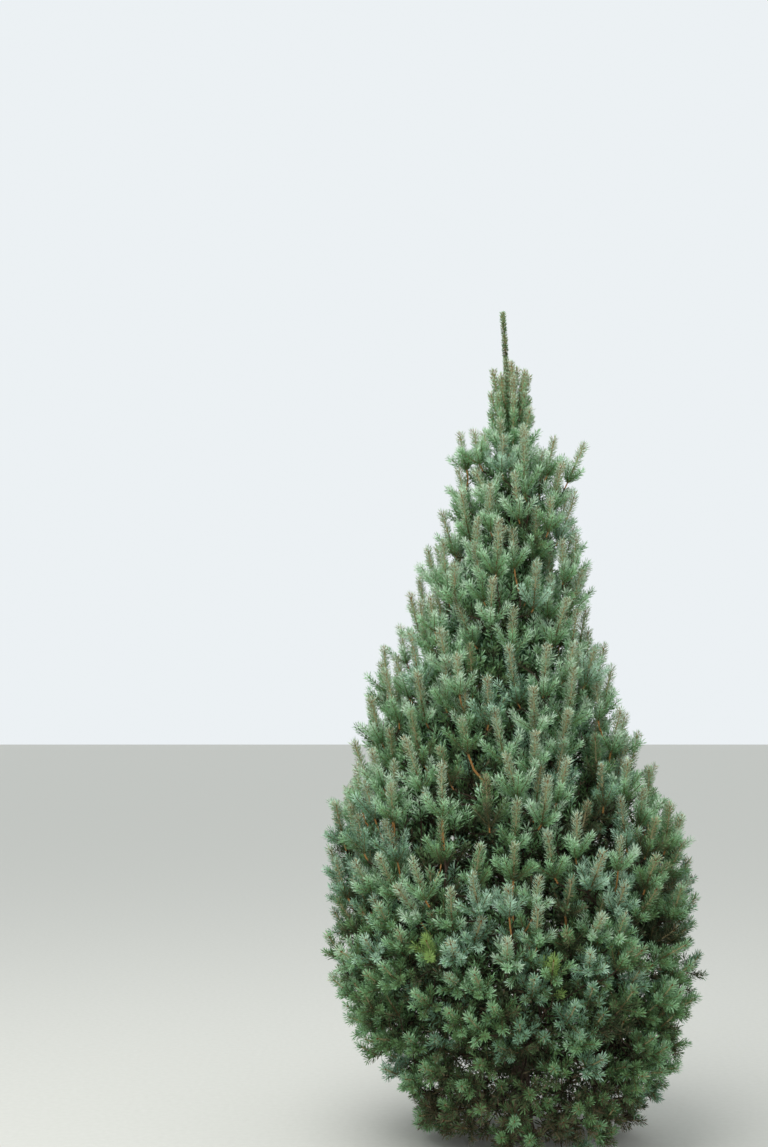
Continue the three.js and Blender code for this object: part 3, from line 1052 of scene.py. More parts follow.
# Tufts that stand out of the crown below its top: the foot, the direction and the shoot's length.
STRAYS = (
    (-190.0, -30.0, 2548.0, -0.25, 0.0, 1.0, 125.0),
    (-142.0, -85.0, 2560.0, -0.15, -0.1, 1.0, 120.0),
    (-96.0, 60.0, 2575.0, -0.1, 0.15, 1.0, 130.0),
    (120.0, -75.0, 2520.0, 0.15, -0.1, 1.0, 130.0),
    (205.0, -20.0, 2500.0, 0.45, 0.0, 1.0, 150.0),
    (110.0, 90.0, 2530.0, 0.15, 0.15, 1.0, 120.0),
    (22.0, -150.0, 2440.0, 0.0, -0.05, 1.0, 235.0),
    (-132.0, 30.0, 2490.0, -0.1, 0.1, 1.0, 125.0),
    (-60.0, -130.0, 2520.0, -0.05, -0.15, 1.0, 130.0),
    (95.0, -10.0, 2455.0, 0.1, 0.0, 1.0, 130.0),
    (150.0, 40.0, 2430.0, 0.2, 0.1, 1.0, 125.0),
)


@dataclass
class TwigRule:
    """The source's branching rule, carried on from limbs to twigs and from twigs to twiglets.

    A pair of sizes goes from low to high, from the outside inwards, or from the least to the most that
    chance gives. Angles are in degrees.
    """

    crown: Crown
    limbs: list[Limb]
    random: Random
    node_spacing: float = 38.0
    first_step: int = 2
    fewest_nodes: int = 4
    first_node: float = 0.3
    twigs_per_node: int = 3
    spread: float = 58.0
    spread_jitter: float = 10.0
    longest: float = 330.0
    shortest: float = 26.0
    length_chance: Pair = (0.72, 1.0)
    lift_at_ground: float = 0.05
    lift_above: float = 0.75
    lift_full_height: float = 1300.0
    tuft_room: Pair = (92.0, 138.0)
    tuft_room_heights: Pair = (150.0, 1150.0)
    easing: float = 0.5
    thinnest: float = 2.6
    radii: Pair = (3.0, 5.0)
    twig_thickening: float = 130.0
    twiglet_thickening: float = 150.0
    shortest_parent: float = 60.0
    twiglet_spacing: float = 27.0
    twiglet_first: float = 34.0
    twiglet_longest: float = 150.0
    twiglet_shortest: float = 14.0
    twiglet_radius: float = 0.8
    twiglet_lift: float = 0.6
    twiglet_tuft: float = 0.8
    twiglet_shift: float = 0.05
    twiglet_shares: Pair = (0.1, 0.97)
    twiglet_lengths_at_skin: Pair = (0.85, 1)
    twiglet_lengths_inside: Pair = (0.25, 1)
    short_twiglets: Pair = (20, 70)
    steps: int = 40
    march: float = 16.0
    filler_count: int = 9000
    filler_heights: Pair = (28.0, 2600.0)
    filler_chance: Pair = (200, 800)
    filler_depth: Pair = (40.0, 330.0)
    filler_outward: float = 1.5
    filler_longest: float = 240.0
    core_radius: float = 60.0
    drop: float = 40.0
    highest_start: Pair = (-160.0, 50.0)
    highest_start_heights: Pair = (100.0, 800.0)
    at_once: int = 400
    inner_share: float = 0.3
    trunk_from: float = 260.0
    trunk_to: float = 2715.0
    trunk_spacing: Pair = (22.0, 9.0)
    trunk_places: int = 160
    trunk_climb: float = 42.0
    trunk_climb_jitter: float = 12
    trunk_clear: float = 60.0
    trunk_search: float = 260.0
    trunk_longest: float = 150.0
    trunk_shortest: float = 22.0
    trunk_tuft: float = 0.7
    trunk_chance: Pair = (0.6, 1.0)
    stem_end: float = 20.0
    tuft_climb: Pair = (10.0, 82.0)
    tuft_heights: Pair = (180.0, 1060.0)
    tuft_chance: Pair = (0.3, 0.1)
    tuft_chance_height: float = 1000.0
    tuft_twig: float = 0.2

    def lift(self, z: Array) -> Array:
        """Return how strongly twigs turn upwards at each height."""
        return mix(self.lift_at_ground, self.lift_above, ramp(z, 0.0, self.lift_full_height))

    def direction(self, forward: Array, spin: Array, lift: Array) -> Array:
        """Return twig directions: forward turned aside by the spread, spun round, and lifted.

        Args:
            forward: Unit directions of the parents.
            spin: Angles round the parents.
            lift: How much of +Z is added.

        Returns:
            Unit directions.
        """
        spread = self.spread + self.random.uniform(-1, 1, len(spin)) * self.spread_jitter
        aside, _ = turned(forward, spin, np.radians(spread)[:, None])
        return unit(aside + UP * lift[:, None])

    def tuft_reach(self, start: Array) -> Array:
        """Return the length that a twig leaves free for its tuft, more at greater heights."""
        return mix(*self.tuft_room, ramp(start[:, 2], *self.tuft_room_heights))

    def room(self, start: Array, direction: Array, limb: Array | None, most: float) -> Array:
        """Return how far each twig can go before it leaves the crown or its limb's own space.

        The way is followed in even steps up to the first place that is not free.

        Args:
            start: Where each twig starts.
            direction: Its unit direction.
            limb: The owner limbs, or None where a twig may enter another limb's space.
            most: How far the way is followed.

        Returns:
            The lengths.
        """
        steps = np.arange(1, int(most / self.march) + 1) * self.march
        points = start[:, None] + direction[:, None] * steps[None, :, None]
        free = self.crown.holds(points) & self.crown.clear_of_trunk(points)
        if limb is not None:
            nearest = self.nearest_limb(points.reshape(-1, 3)).reshape(free.shape)
            free &= nearest == limb[:, None]
        blocked = np.argmin(np.concatenate([free, np.zeros((len(free), 1), bool)], axis=1), axis=1)
        return blocked * self.march

    def nearest_limb(self, points: Array) -> Array:
        """Return which limb's spine each point lies nearest to, by distance to its straight runs.

        Args:
            points: The points, shape (n, 3).

        Returns:
            The limbs' numbers.
        """
        least = np.full(len(points), np.inf)
        nearest = np.zeros(len(points), int)
        for number, limb in enumerate(self.limbs):
            for a, b in zip(limb.spine[:-1], limb.spine[1:]):
                run = b - a
                share = np.clip((points - a) @ run / (run @ run), 0, 1)[:, None]
                distance = np.linalg.norm(points - (a + share * run), axis=1)
                closer = distance < least
                least = np.where(closer, distance, least)
                nearest = np.where(closer, number, nearest)
        return nearest

    def made(
        self, start: Array, forward: Array, direction: Array, length: Array, thick: float, limb: Array
    ) -> Twigs:
        """Return twigs of given lengths that bend from their parent's way towards their tuft's.

        Args:
            start: Where each leaves its parent.
            forward: The parent's direction there.
            direction: Each twig's own direction.
            length: Each twig's length.
            thick: The length that adds a millimetre to its radius.
            limb: The owner limbs.

        Returns:
            The twigs, each with no parent set.
        """
        end = start + direction * length[:, None]
        one = np.ones(len(length))
        return Twigs(
            start=start,
            leaving=unit(direction + self.easing * forward),
            end=end,
            arriving=self.tuft_direction(end, direction),
            radius=np.clip(self.thinnest + length / thick, *self.radii),
            limb=limb,
            parent=-one.astype(int),
            share=one,
            until=one,
            fresh=one < 0,
        )

    def twigs(self) -> Twigs:
        """Return the twigs that leave the limbs' stems, in threes at each node."""
        step = LimbRule.step
        starts, forwards, spins, owners = [], [], [], []
        for number, limb in enumerate(self.limbs):
            stem = limb.line[max(self.first_step, round(limb.entry * self.inner_share)) :]
            nodes = max(self.fewest_nodes, round(len(stem) * step / self.node_spacing))
            at = np.round((np.arange(nodes) + self.first_node) / nodes * (len(stem) - 1)).astype(int)
            tangents = unit(np.gradient(stem, axis=0))[at]
            count = nodes * self.twigs_per_node
            starts.append(np.repeat(stem[at], self.twigs_per_node, axis=0))
            forwards.append(np.repeat(tangents, self.twigs_per_node, axis=0))
            spins.append(self.random.uniform(0, 2 * math.pi) + GOLDEN_ANGLE * np.arange(count))
            owners.append(np.full(count, number))
        start, forward = np.concatenate(starts), np.concatenate(forwards)
        spin, owner = np.concatenate(spins), np.concatenate(owners)
        direction = self.direction(forward, spin, self.lift(start[:, 2]))
        room = self.room(start, direction, owner, self.longest + self.tuft_room[1])
        length = np.minimum(self.longest, room - self.tuft_reach(start))
        length = length * self.random.uniform(*self.length_chance, len(room))
        keep = length > self.shortest
        own = (start[keep], forward[keep], direction[keep], length[keep])
        return self.made(*own, self.twig_thickening, owner[keep])

    def trunk_twigs(self) -> Twigs:
        """Return the short twigs that leave the upper trunk between its whorls, at the golden angle."""
        z = np.cumsum(mix(*self.trunk_spacing, np.linspace(0, 1, self.trunk_places)))
        z = self.trunk_from + z[z < self.trunk_to - self.trunk_from]
        start = self.crown.trunk.centre(z)
        heading = GOLDEN_ANGLE * np.arange(len(z))
        jitter = self.random.uniform(-self.trunk_climb_jitter, self.trunk_climb_jitter, len(z))
        direction = pointing(heading, np.radians(self.trunk_climb + jitter))
        clear = start + direction * self.trunk_clear
        room = self.room(clear, direction, None, self.trunk_search) + self.trunk_clear
        length = np.minimum(self.trunk_longest, room - self.trunk_tuft * self.tuft_room[1])
        length = length * self.random.uniform(*self.trunk_chance, len(z))
        keep = length > self.trunk_shortest
        owner = np.full(np.count_nonzero(keep), len(self.limbs))
        own = (start[keep], direction[keep], direction[keep], length[keep])
        return self.made(*own, self.twig_thickening, owner)

    def twiglets(self, twigs: Twigs) -> Twigs:
        """Return the twiglets that leave each twig in pairs along its length, every third one short.

        Args:
            twigs: The twigs that they leave.

        Returns:
            The twiglets, with their parents.
        """
        length = np.linalg.norm(twigs.end - twigs.start, axis=1)
        pairs = np.maximum(1, ((length - self.twiglet_first) / self.twiglet_spacing).astype(int) + 1)
        parent, order = dealt(2 * pairs)
        along = self.twiglet_first + (order // 2) * self.twiglet_spacing
        share = along / np.maximum(length[parent], self.shortest_parent)
        share = share + self.random.uniform(-self.twiglet_shift, self.twiglet_shift, len(share))
        share = np.clip(share, *self.twiglet_shares)
        start, forward = twigs.places(parent, share, self.steps)
        lift = self.twiglet_lift * self.lift(start[:, 2])
        direction = self.direction(forward, GOLDEN_ANGLE * order + parent, lift)
        reach = self.tuft_reach(start)
        room = self.room(start, direction, None, self.twiglet_longest + self.tuft_room[1])
        most = np.minimum(self.twiglet_longest, room - reach * self.twiglet_tuft)
        at_skin = self.random.uniform(*self.twiglet_lengths_at_skin, len(most))
        inside = self.random.uniform(*self.twiglet_lengths_inside, len(most))
        short = np.minimum(most, self.random.uniform(*self.short_twiglets, len(most)))
        part = np.where(room < self.twiglet_longest + reach, at_skin, inside)
        length = np.where(order % 3 == 2, short, most * part)
        keep = length > self.twiglet_shortest
        own = (start[keep], forward[keep], direction[keep], length[keep])
        made = self.made(*own, self.twiglet_thickening, twigs.limb[parent[keep]])
        made.parent, made.share = parent[keep], share[keep]
        made.radius = np.minimum(made.radius, self.twiglet_radius * twigs.radius[made.parent])
        return made

    def nearest_below(self, ends: Array, points: Array) -> Array:
        """Return the number of the nearest point that lies below each end.

        Near the ground, where twigs hang, that point may also lie a little higher.

        Args:
            ends: Where the twigs shall end.
            points: Where they may start.

        Returns:
            For each end, the number of its point.
        """
        wanted = (ends - self.drop * UP).astype(np.float32)
        known = points.astype(np.float32)
        below = mix(*self.highest_start, ramp(ends[:, 2], *self.highest_start_heights))
        highest = ends[:, 2] - below
        nearest = []
        for rows in np.array_split(np.arange(len(ends)), 1 + len(ends) // self.at_once):
            away = np.sum(known**2, axis=1) - 2.0 * wanted[rows] @ known.T
            nearest.append(np.argmin(np.where(known[:, 2] < highest[rows, None], away, np.inf), axis=1))
        return np.concatenate(nearest)

    def strays(self) -> Twigs:
        """Return the twigs of the few tufts that stand out below the top, each from the nearest limb."""
        ends = np.array([stray[:3] for stray in STRAYS])
        points = np.concatenate([limb.line for limb in self.limbs])
        owner = np.repeat(np.arange(len(self.limbs)), [len(limb.line) for limb in self.limbs])
        nearest = self.nearest_below(ends, points)
        run = ends - points[nearest]
        own = (points[nearest], unit(run), unit(run), np.linalg.norm(run, axis=1))
        made = self.made(*own, self.twig_thickening, owner[nearest])
        made.arriving = unit(np.array([stray[3:6] for stray in STRAYS]))
        return made

    def fillers(self, twigs: Twigs) -> Twigs:
        """Return more twiglets, to places in the crown that the pairs leave open.

        Their ends are dealt out evenly by height and heading, more of them near the outline, and each
        leaves the nearest place of a twig.

        Args:
            twigs: The twigs that they leave.

        Returns:
            The twiglets, with their parents.
        """
        z = self.random.uniform(*self.filler_heights, self.filler_count)
        least, most = self.filler_chance
        z = z[self.random.uniform(0, most, len(z)) < least + self.crown.radius(z)]
        inward = self.random.uniform(0.0, 1.0, len(z)) ** self.filler_outward
        radius = np.maximum(self.crown.radius(z) - mix(*self.filler_depth, inward), self.core_radius)
        heading = self.random.uniform(0, 2 * math.pi, len(z))
        ends = self.crown.axis(z) + pointing(heading, 0.0 * heading) * radius[:, None]
        shares = np.linspace(0.0, 1.0, 9)[2:]
        points = twigs.lines(9)[:, 2:].reshape(-1, 3)
        nearest = self.nearest_below(ends, points)
        parent, share = nearest // len(shares), shares[nearest % len(shares)]
        run = ends - points[nearest]
        length = np.linalg.norm(run, axis=1)
        own = (points[nearest], unit(run), unit(run), length)
        made = self.made(*own, self.twiglet_thickening, twigs.limb[parent])
        made.parent, made.share = parent, share
        return made.some((length > self.twiglet_shortest) & (length < self.filler_longest))

    def stem_ends(self) -> Twigs:
        """Return a last short twig on the tip of each limb, which carries the limb's own tuft."""
        tip = np.array([limb.line[-1] for limb in self.limbs])
        forward = unit(tip - np.array([limb.line[-3] for limb in self.limbs]))
        length = np.full(len(tip), self.stem_end)
        return self.made(tip, forward, forward, length, self.twig_thickening, np.arange(len(tip)))

    def tuft_direction(self, base: Array, twig: Array) -> Array:
        """Return the way a tuft points: outwards near the ground, and more and more upwards above.

        A part of the twig's own direction and a little chance are added.

        Args:
            base: Where each tuft stands.
            twig: Its twig's direction.

        Returns:
            Unit directions.
        """
        climb = np.radians(mix(*self.tuft_climb, ramp(base[:, 2], *self.tuft_heights)))[:, None]
        outward = self.crown.outward(base)[1]
        freedom = mix(*self.tuft_chance, ramp(base[:, 2], 0.0, self.tuft_chance_height))[:, None]
        chance = self.random.normal(0, 1.0, base.shape) * freedom
        return unit(outward * np.cos(climb) + UP * np.sin(climb) + self.tuft_twig * twig + chance)


@dataclass(frozen=True)
class ToneRule:
    """How deep the tone of a tuft is, counted in tones from the palest.

    Heights and depths go in pairs, from where a change sets in to where it is full. The tufts are
    deeper inside the crown, as painted shade with some real darkening of old needles, and deeper near the
    ground, as painted shade and dust, and they are painted paler above, as painted light. Between the flank
    heights both flanks are painted deeper, the right one more, as painted shade, and under those, paler on
    both, as painted light. A clump is paler than a hollow: painted light on clumps, painted shade in
    hollows.
    """

    clumps: Clumps
    above: Pair = (500.0, 900.0)
    # Painted shade deeper in the crown, with some real darkening of old needles: where it starts, where it
    # is full, and how many tones.
    hidden_from: Pair = (50.0, 30.0)
    hidden_to: Pair = (260.0, 200.0)
    hidden: Pair = (2.4, 2.9)
    # Painted shade and dust near the ground, in tones.
    near_ground: float = 3.25
    near_ground_heights: Pair = (200.0, 1350.0)
    offset: float = -0.2
    # Painted light: tones taken off above.
    paler_above: float = 0.55
    chance: float = 0.5
    more_chance_above: float = 0.6
    # Painted light on clumps and painted shade in hollows, in tones.
    clump: float = 0.8
    more_clump_above: float = 0.4
    # Painted shade on both flanks at middle heights, in tones, more on the right.
    flanks: Pair = (1.9, -1.1)
    flank_sides: Pair = (0.3, 0.85)
    flank_from: Pair = (300.0, 850.0)
    flank_to: Pair = (1150.0, 1700.0)
    # Painted light on both flanks low down, in tones.
    low_flank: float = 1.3
    low_from: Pair = (120.0, 300.0)
    low_to: Pair = (450.0, 900.0)

    def at(self, place: Array, depth: Array, random: Random) -> Array:
        """Return a tone for each tuft, which may lie between two.

        Args:
            place: Where each tuft stands.
            depth: How deep in the crown it lies.
            random: The seeded generator.

        Returns:
            The tones, from the palest to the deepest.
        """
        z = place[:, 2]
        above = smooth(z, *self.above)
        # Painted shade inside the crown, partly real darkening of old needles.
        hidden = smooth(depth, mix(*self.hidden_from, above), mix(*self.hidden_to, above))
        # Painted shade and dust near the ground.
        ground = 1 - smooth(z, *self.near_ground_heights)
        level = mix(*self.hidden, above) * hidden + self.near_ground * ground
        # Painted light above.
        level = level + self.offset - self.paler_above * above
        level = level + random.normal(0, self.chance, len(z)) * (1 + self.more_chance_above * above)
        # Painted light on the clumps, painted shade in the hollows.
        level = level - (self.clump + self.more_clump_above * above) * self.clumps.at(place)
        # Painted shade on both flanks at middle heights, more on the right.
        side = np.sin(np.arctan2(place[:, 1], place[:, 0]) + 0.5 * math.pi)
        aside = smooth(np.abs(side), *self.flank_sides)
        flank = np.where(side > 0, *self.flanks) * side * aside
        level = level + flank * smooth(z, *self.flank_from) * (1 - smooth(z, *self.flank_to))
        # Painted light on both flanks low down.
        low = smooth(z, *self.low_from) * (1 - smooth(z, *self.low_to))
        level = level - self.low_flank * np.abs(side) * aside * low
        return np.clip(level, Tone.PALE, Tone.DUSK)


@dataclass
class TuftRule:
    """Which twigs carry a tuft, and the shoots that make one.

    A pair of sizes goes from low to high, from the outside inwards, or from the least to the most that
    chance gives. Angles are in degrees. The needles are about twice as broad as real ones, and those
    inside four times, so that fewer of them clothe the tree. A listed tuft counts as lying a
    hair inside the skin, nearer to it than any other.
    """

    crown: Crown
    random: Random
    clumps: Clumps = Clumps(SEED)
    bloom: Clumps = Clumps(SEED + 1)
    tone_rule: ToneRule = ToneRule(Clumps(SEED))
    hollow_heights: tuple[float, ...] = (0.0, 260.0, 1000.0, 2000.0)
    hollow_depths: tuple[float, ...] = (130.0, 78.0, 62.0, 28.0)
    hollows_to: float = 2450.0
    clumping: float = 0.1
    apart: Pair = (75.0, 97.0)
    apart_inside: Pair = (86.0, 58.0)
    apart_inside_heights: Pair = (500.0, 2000.0)
    open_foot: Pair = (220.0, 500.0)
    wider_at_foot: Pair = (0.1, 0.28)
    closer_at_top: float = 0.2
    top: Pair = (2200.0, 2450.0)
    middle: Pair = (30.0, 60.0)
    heights: tuple[float, ...] = (0, 300, 1000, 3200)
    heights_told: tuple[float, ...] = (0, 300, 900, 2480)
    rank_chance: float = 34.0
    filler_rank: float = 45.0
    cell_to_apart: float = 1.45
    shell: float = 112.0
    shell_blend: float = 25.0
    inside: float = 470.0
    skin: float = 9.0
    placed_by_hand: float = 0.1
    lowest_tip: float = 34.0
    upright_heights: Pair = (180.0, 1060.0)
    full_growth: Pair = (150.0, 1300.0)
    less_growth: float = 0.25
    less_growth_heights: Pair = (2100.0, 2500.0)
    leading_length: Pair = (58.0, 168.0)
    leading_chance: Pair = (0.74, 1.18)
    leading_inside: float = 0.6
    side_angle: Pair = (62.0, 52.0)
    side_angle_jitter: float = 8.0
    side_length: Pair = (46.0, 80.0)
    side_chance: Pair = (0.7, 1.22)
    side_inside: float = 0.75
    side_reach: float = 0.72
    side_spin_jitter: float = 0.2
    facing: Pair = (-0.75, -0.2)
    facing_to: float = 2500.0
    lowest_side_tip: float = 30.0
    past_outline: float = 3.0
    outline_to: float = 2300.0
    ring_counts: tuple[int, int] = (5, 3)
    ring_count_inside: int = 4
    lower_ring: Pair = (62.0, 96.0)
    lower_ring_furthest: float = 0.75
    lower_ring_angle: float = 10.0
    lower_ring_length: float = 0.86
    lower_ring_density: float = 0.8
    lower_ring_bare: Pair = (0.25, 0.85)
    lower_ring_heights: Pair = (700.0, 1200.0)
    needle_length: float = 26.5
    side_needle: float = 0.94
    needle_chance: Pair = (0.92, 1.08)
    needle_width: Pair = (3.7, 3.0)
    needles_per_mm: Pair = (1.02, 1.44)
    leading_density: float = 1.5
    leading_width: float = 0.95
    finer_from: Pair = (500.0, 1100.0)
    crests: tuple[int, int, int] = (8, 7, 3)
    tawny: Pair = (0.07, 0.34)
    inner_length: float = 32.0
    inner_width: Pair = (5.6, 8.4)
    inner_per_mm: Pair = (0.47, 0.24)
    deep: Pair = (150.0, 320.0)
    older_length: Pair = (0.75, 0.95)
    older_width: float = 0.9
    older_density: Pair = (0.6, 1.6)
    older_density_heights: Pair = (1000.0, 2000.0)
    # How much deeper the older needles count in the tone rule, for more painted shade.
    older_deeper: float = 60.0
    older_from: float = 45.0
    older_lowest: float = 38.0
    older_shortest: float = 9.0
    older_clothed: Pair = (0.4, 1.0)
    older_clothed_heights: Pair = (260.0, 560.0)
    waxed_share: float = 0.35
    waxed_clump: float = 0.45
    waxed_most: float = 0.7
    waxed_above: float = 0.25
    waxed_heights: Pair = (700.0, 1700.0)
    waxed_needles: Pair = (0.85, 0.05)
    yellow_needles: float = 0.45
    yellow_places: tuple[tuple[float, float, float], ...] = (
        (-405.0, -570.0, 745.0),
        (-400.0, -570.0, 655.0),
        (-20.0, -650.0, 705.0),
    )

    def upright(self, z: Array) -> Array:
        """Return 0 near the ground and 1 where all shoots stand up."""
        return ramp(z, *self.upright_heights)

    def growth(self, z: Array) -> Array:
        """Return the shoots' share of full growth: short near the ground, a little shorter at the top."""
        return ramp(z, *self.full_growth) * (1 - self.less_growth * smooth(z, *self.less_growth_heights))

    def lengths(self, twigs: Twigs) -> Array:
        """Return the length of each twig's leading shoot."""
        grown = mix(*self.leading_length, self.growth(twigs.end[:, 2]))
        return grown * self.random.uniform(*self.leading_chance, len(grown))

    def depth(self, twigs: Twigs, length: Array) -> Array:
        """Return how deep in the crown each twig's tuft lies: its tip or its side shoots, the outermost.

        Args:
            twigs: The twigs.
            length: The length of each one's leading shoot.

        Returns:
            The depths, or -1 where no tuft may stand: too near the ground, or in a hollow.
        """
        z = twigs.end[:, 2]
        tip = twigs.end + twigs.arriving * length[:, None]
        reach = self.side_reach * mix(*self.side_length, self.growth(z))
        side = twigs.end + self.crown.outward(twigs.end)[1] * reach[:, None] + 0.5 * UP * reach[:, None]
        lowest = np.minimum(tip[:, 2], z - 0.35 * reach * (1 - self.upright(z)))
        depth = np.minimum(self.crown.depth(tip), self.crown.depth(side))
        hollow = np.interp(z, self.hollow_heights, self.hollow_depths)
        dip = hollow * np.clip(-self.clumps.at(twigs.end), 0, 1) * (z < self.hollows_to)
        return np.where((lowest > self.lowest_tip) & (depth > dip), depth, -1.0)

    def distances(self, twigs: Twigs, depth: Array) -> Array:
        """Return how far apart tufts stand, outside by their growth and inside by their height.

        Args:
            twigs: The twigs.
            depth: How deep in the crown each one's tuft lies.

        Returns:
            The least distance from each tuft to those that are taken before it.
        """
        z = twigs.end[:, 2]
        foot = 1 - smooth(z, *self.open_foot)
        outside = mix(*self.apart, self.growth(z)) * (1 + self.wider_at_foot[0] * foot)
        outside = outside * (1.0 - self.clumping * self.clumps.at(twigs.end))
        within = mix(*self.apart_inside, smooth(z, *self.apart_inside_heights))
        within = within * (1 + self.wider_at_foot[1] * foot)
        within = within * (1 - self.closer_at_top * smooth(z, *self.top))
        inner = smooth(depth, self.shell - self.shell_blend, self.shell + self.shell_blend)
        return mix(outside, within, inner)

    def spaced(self, twigs: Twigs, depth: Array, filler: Array) -> Array:
        """Return the numbers of the twigs that carry a tuft.

        The listed ones come first, then the outermost, and the fillers after the others of their
        depth. One is passed over where its tuft's middle comes too near to one that is already taken.
        Heights count for less above, where tufts are taller than they are wide. The taken ones are kept
        by cells of space, so that only the nearest are measured.

        Args:
            twigs: The twigs.
            depth: How deep in the crown each one's tuft lies.
            filler: Whether it is a filler.

        Returns:
            The numbers, in the order in which they are taken.
        """
        middle = twigs.end + twigs.arriving * mix(*self.middle, self.growth(twigs.end[:, 2]))[:, None]
        middle[:, 2] = np.interp(middle[:, 2], self.heights, self.heights_told)
        rank = depth + self.random.uniform(0, self.rank_chance, len(depth)) + self.filler_rank * filler
        free = depth > self.skin + 2 * self.placed_by_hand
        order = np.argsort(np.where(free, rank, 0.0))
        apart = np.where(free, self.distances(twigs, depth), 0.0)
        size = self.cell_to_apart * max(*self.apart, *self.apart_inside) * (1.0 + self.clumping)
        cells: dict[tuple[int, ...], list[int]] = {}
        taken = []
        for i in order[(depth[order] > self.skin) & (depth[order] < self.inside)]:
            x, y, z = (middle[i] // size).astype(int)
            near = [
                j
                for a in (x - 1, x, x + 1)
                for b in (y - 1, y, y + 1)
                for c in (z - 1, z, z + 1)
                for j in cells.get((a, b, c), ())
            ]
            if near and np.min(np.sum((middle[near] - middle[i]) ** 2, axis=1)) < apart[i] ** 2:
                continue
            cells.setdefault((x, y, z), []).append(i)
            taken.append(i)
        return np.array(taken)

    def waxed(self, place: Array) -> Array:
        """Return each tuft's share of thickly waxed, bluer needles: most have few, some clumps many.

        Args:
            place: Where each tuft stands.

        Returns:
            One of two shares for each tuft.
        """
        share = np.clip(self.waxed_share + self.waxed_clump * self.bloom.at(place), 0, self.waxed_most)
        share = share * mix(1.0, self.waxed_above, smooth(place[:, 2], *self.waxed_heights))
        return np.where(self.random.uniform(size=len(share)) < share, *self.waxed_needles)

    def deeper(self, tone: Array, steps: Array) -> Array:
        """Return tones some steps deeper, with many of the yellow ones left as they are.

        Args:
            tone: The tones.
            steps: How many steps deeper each becomes.

        Returns:
            The new tones.
        """
        stays = self.random.uniform(size=len(tone)) < self.yellow_needles
        yellow = np.where(stays, Tone.YELLOW, Tone.MID)
        return np.where(tone > Tone.DUSK, yellow, np.clip(tone + steps, Tone.PALE, Tone.DUSK))

    def fineness(self, z: Array) -> tuple[Array, Array]:
        """Return the outer needles' width and their number to a millimetre: finer and more above."""
        share = smooth(z, *self.finer_from)
        return mix(*self.needle_width, share), mix(*self.needles_per_mm, share)

    def inner(self, depth: Array) -> tuple[Array, Array]:
        """Return the needles' width and their number to a millimetre inside: fewer and broader."""
        share = smooth(depth, *self.deep)
        return mix(*self.inner_width, share), mix(*self.inner_per_mm, share)

    def ring(
        self, twigs: Twigs, foot: Array, along: Array, tone: Array, waxed: Array, depth: Array, lower: bool
    ) -> Shoots:
        """Return a ring of side shoots round each twig's end, or round its line further back.

        Args:
            twigs: The twigs that carry the tufts.
            foot: Where each ring stands.
            along: The twig's direction there.
            tone: Each tuft's tone.
            waxed: Each tuft's share of waxed needles.
            depth: How deep in the crown each tuft lies.
            lower: Whether it is the ring further back, which has fewer and wider-set shoots.

        Returns:
            The side shoots, without those that would grow into the crown's dark inside.
        """
        n = len(depth)
        outer = depth < self.shell
        fewest = self.ring_counts[int(lower)]
        count = np.where(outer, self.random.integers(fewest, fewest + 2, n), self.ring_count_inside)
        bare = mix(*self.lower_ring_bare, smooth(foot[:, 2], *self.lower_ring_heights))
        count = np.where(lower & (self.random.uniform(size=n) < bare), 0, count)
        parent, order = dealt(count)
        many = len(parent)
        spin = 2 * math.pi * order / np.maximum(count, 1)[parent] + self.random.uniform(0, 6, n)[parent]
        spin = spin + self.random.normal(0, self.side_spin_jitter, many)
        upright, grown = self.upright(foot[:, 2])[parent], self.growth(foot[:, 2])[parent]
        feet, forward, outer = foot[parent], along[parent], outer[parent]
        angle = mix(*self.side_angle, upright) + (self.lower_ring_angle if lower else 0.0)
        angle = np.radians(angle + self.random.normal(0, self.side_angle_jitter, many))[:, None]
        direction = unit(turned(forward, spin, angle)[0])
        length = mix(*self.side_length, grown) * self.random.uniform(*self.side_chance, many)
        length = length * np.where(outer, self.lower_ring_length if lower else 1.0, self.side_inside)
        facing = np.sum(direction * self.crown.outward(feet)[1], axis=1)
        keep = (facing > self.random.uniform(*self.facing, many)) | (feet[:, 2] > self.facing_to)
        tip = feet + direction * length[:, None]
        in_outline = (self.crown.depth(tip) > -self.past_outline) | (tip[:, 2] > self.outline_to)
        keep &= (tip[:, 2] > self.lowest_side_tip) & in_outline
        inner_width, inner_per_mm = self.inner(depth[parent])
        width, per_mm = self.fineness(feet[:, 2])
        needle = mix(self.inner_length, self.needle_length * self.side_needle, outer)
        made = Shoots.made(
            feet,
            direction=direction,
            bend=0.2 * UP * (0.15 + upright)[:, None] + 0.1 * forward,
            length=length,
            needle=needle * self.random.uniform(*self.needle_chance, many),
            width=np.where(outer, width, inner_width),
            density=np.where(outer, per_mm * (self.lower_ring_density if lower else 1.0), inner_per_mm),
            tone=self.deeper(tone[parent], self.random.integers(0, 2, many) + int(lower)),
            waxed=waxed[parent],
            crest=np.where(outer, *self.crests[1:]),
            limb=twigs.limb[parent],
        )
        return made.some(keep)

    def older(self, twigs: Twigs) -> Shoots:
        """Return the older needles on the twigs themselves, along up to three parts of each line.

        The last part of a twig, below its tuft, stays bare, and so do twigs deep in the crown.

        Args:
            twigs: The twigs.

        Returns:
            One shoot for each clothed part.
        """
        lines = twigs.lines(6)
        foot = lines[:, 1:4].reshape(-1, 3)
        run = lines[:, 2:5].reshape(-1, 3) - foot
        z = foot[:, 2]
        length = np.linalg.norm(run, axis=1)
        depth = self.crown.depth(foot)
        n = len(length)
        width, per_mm = self.inner(depth)
        density, more = self.older_density
        needle = self.inner_length * self.random.uniform(*self.older_length, n)
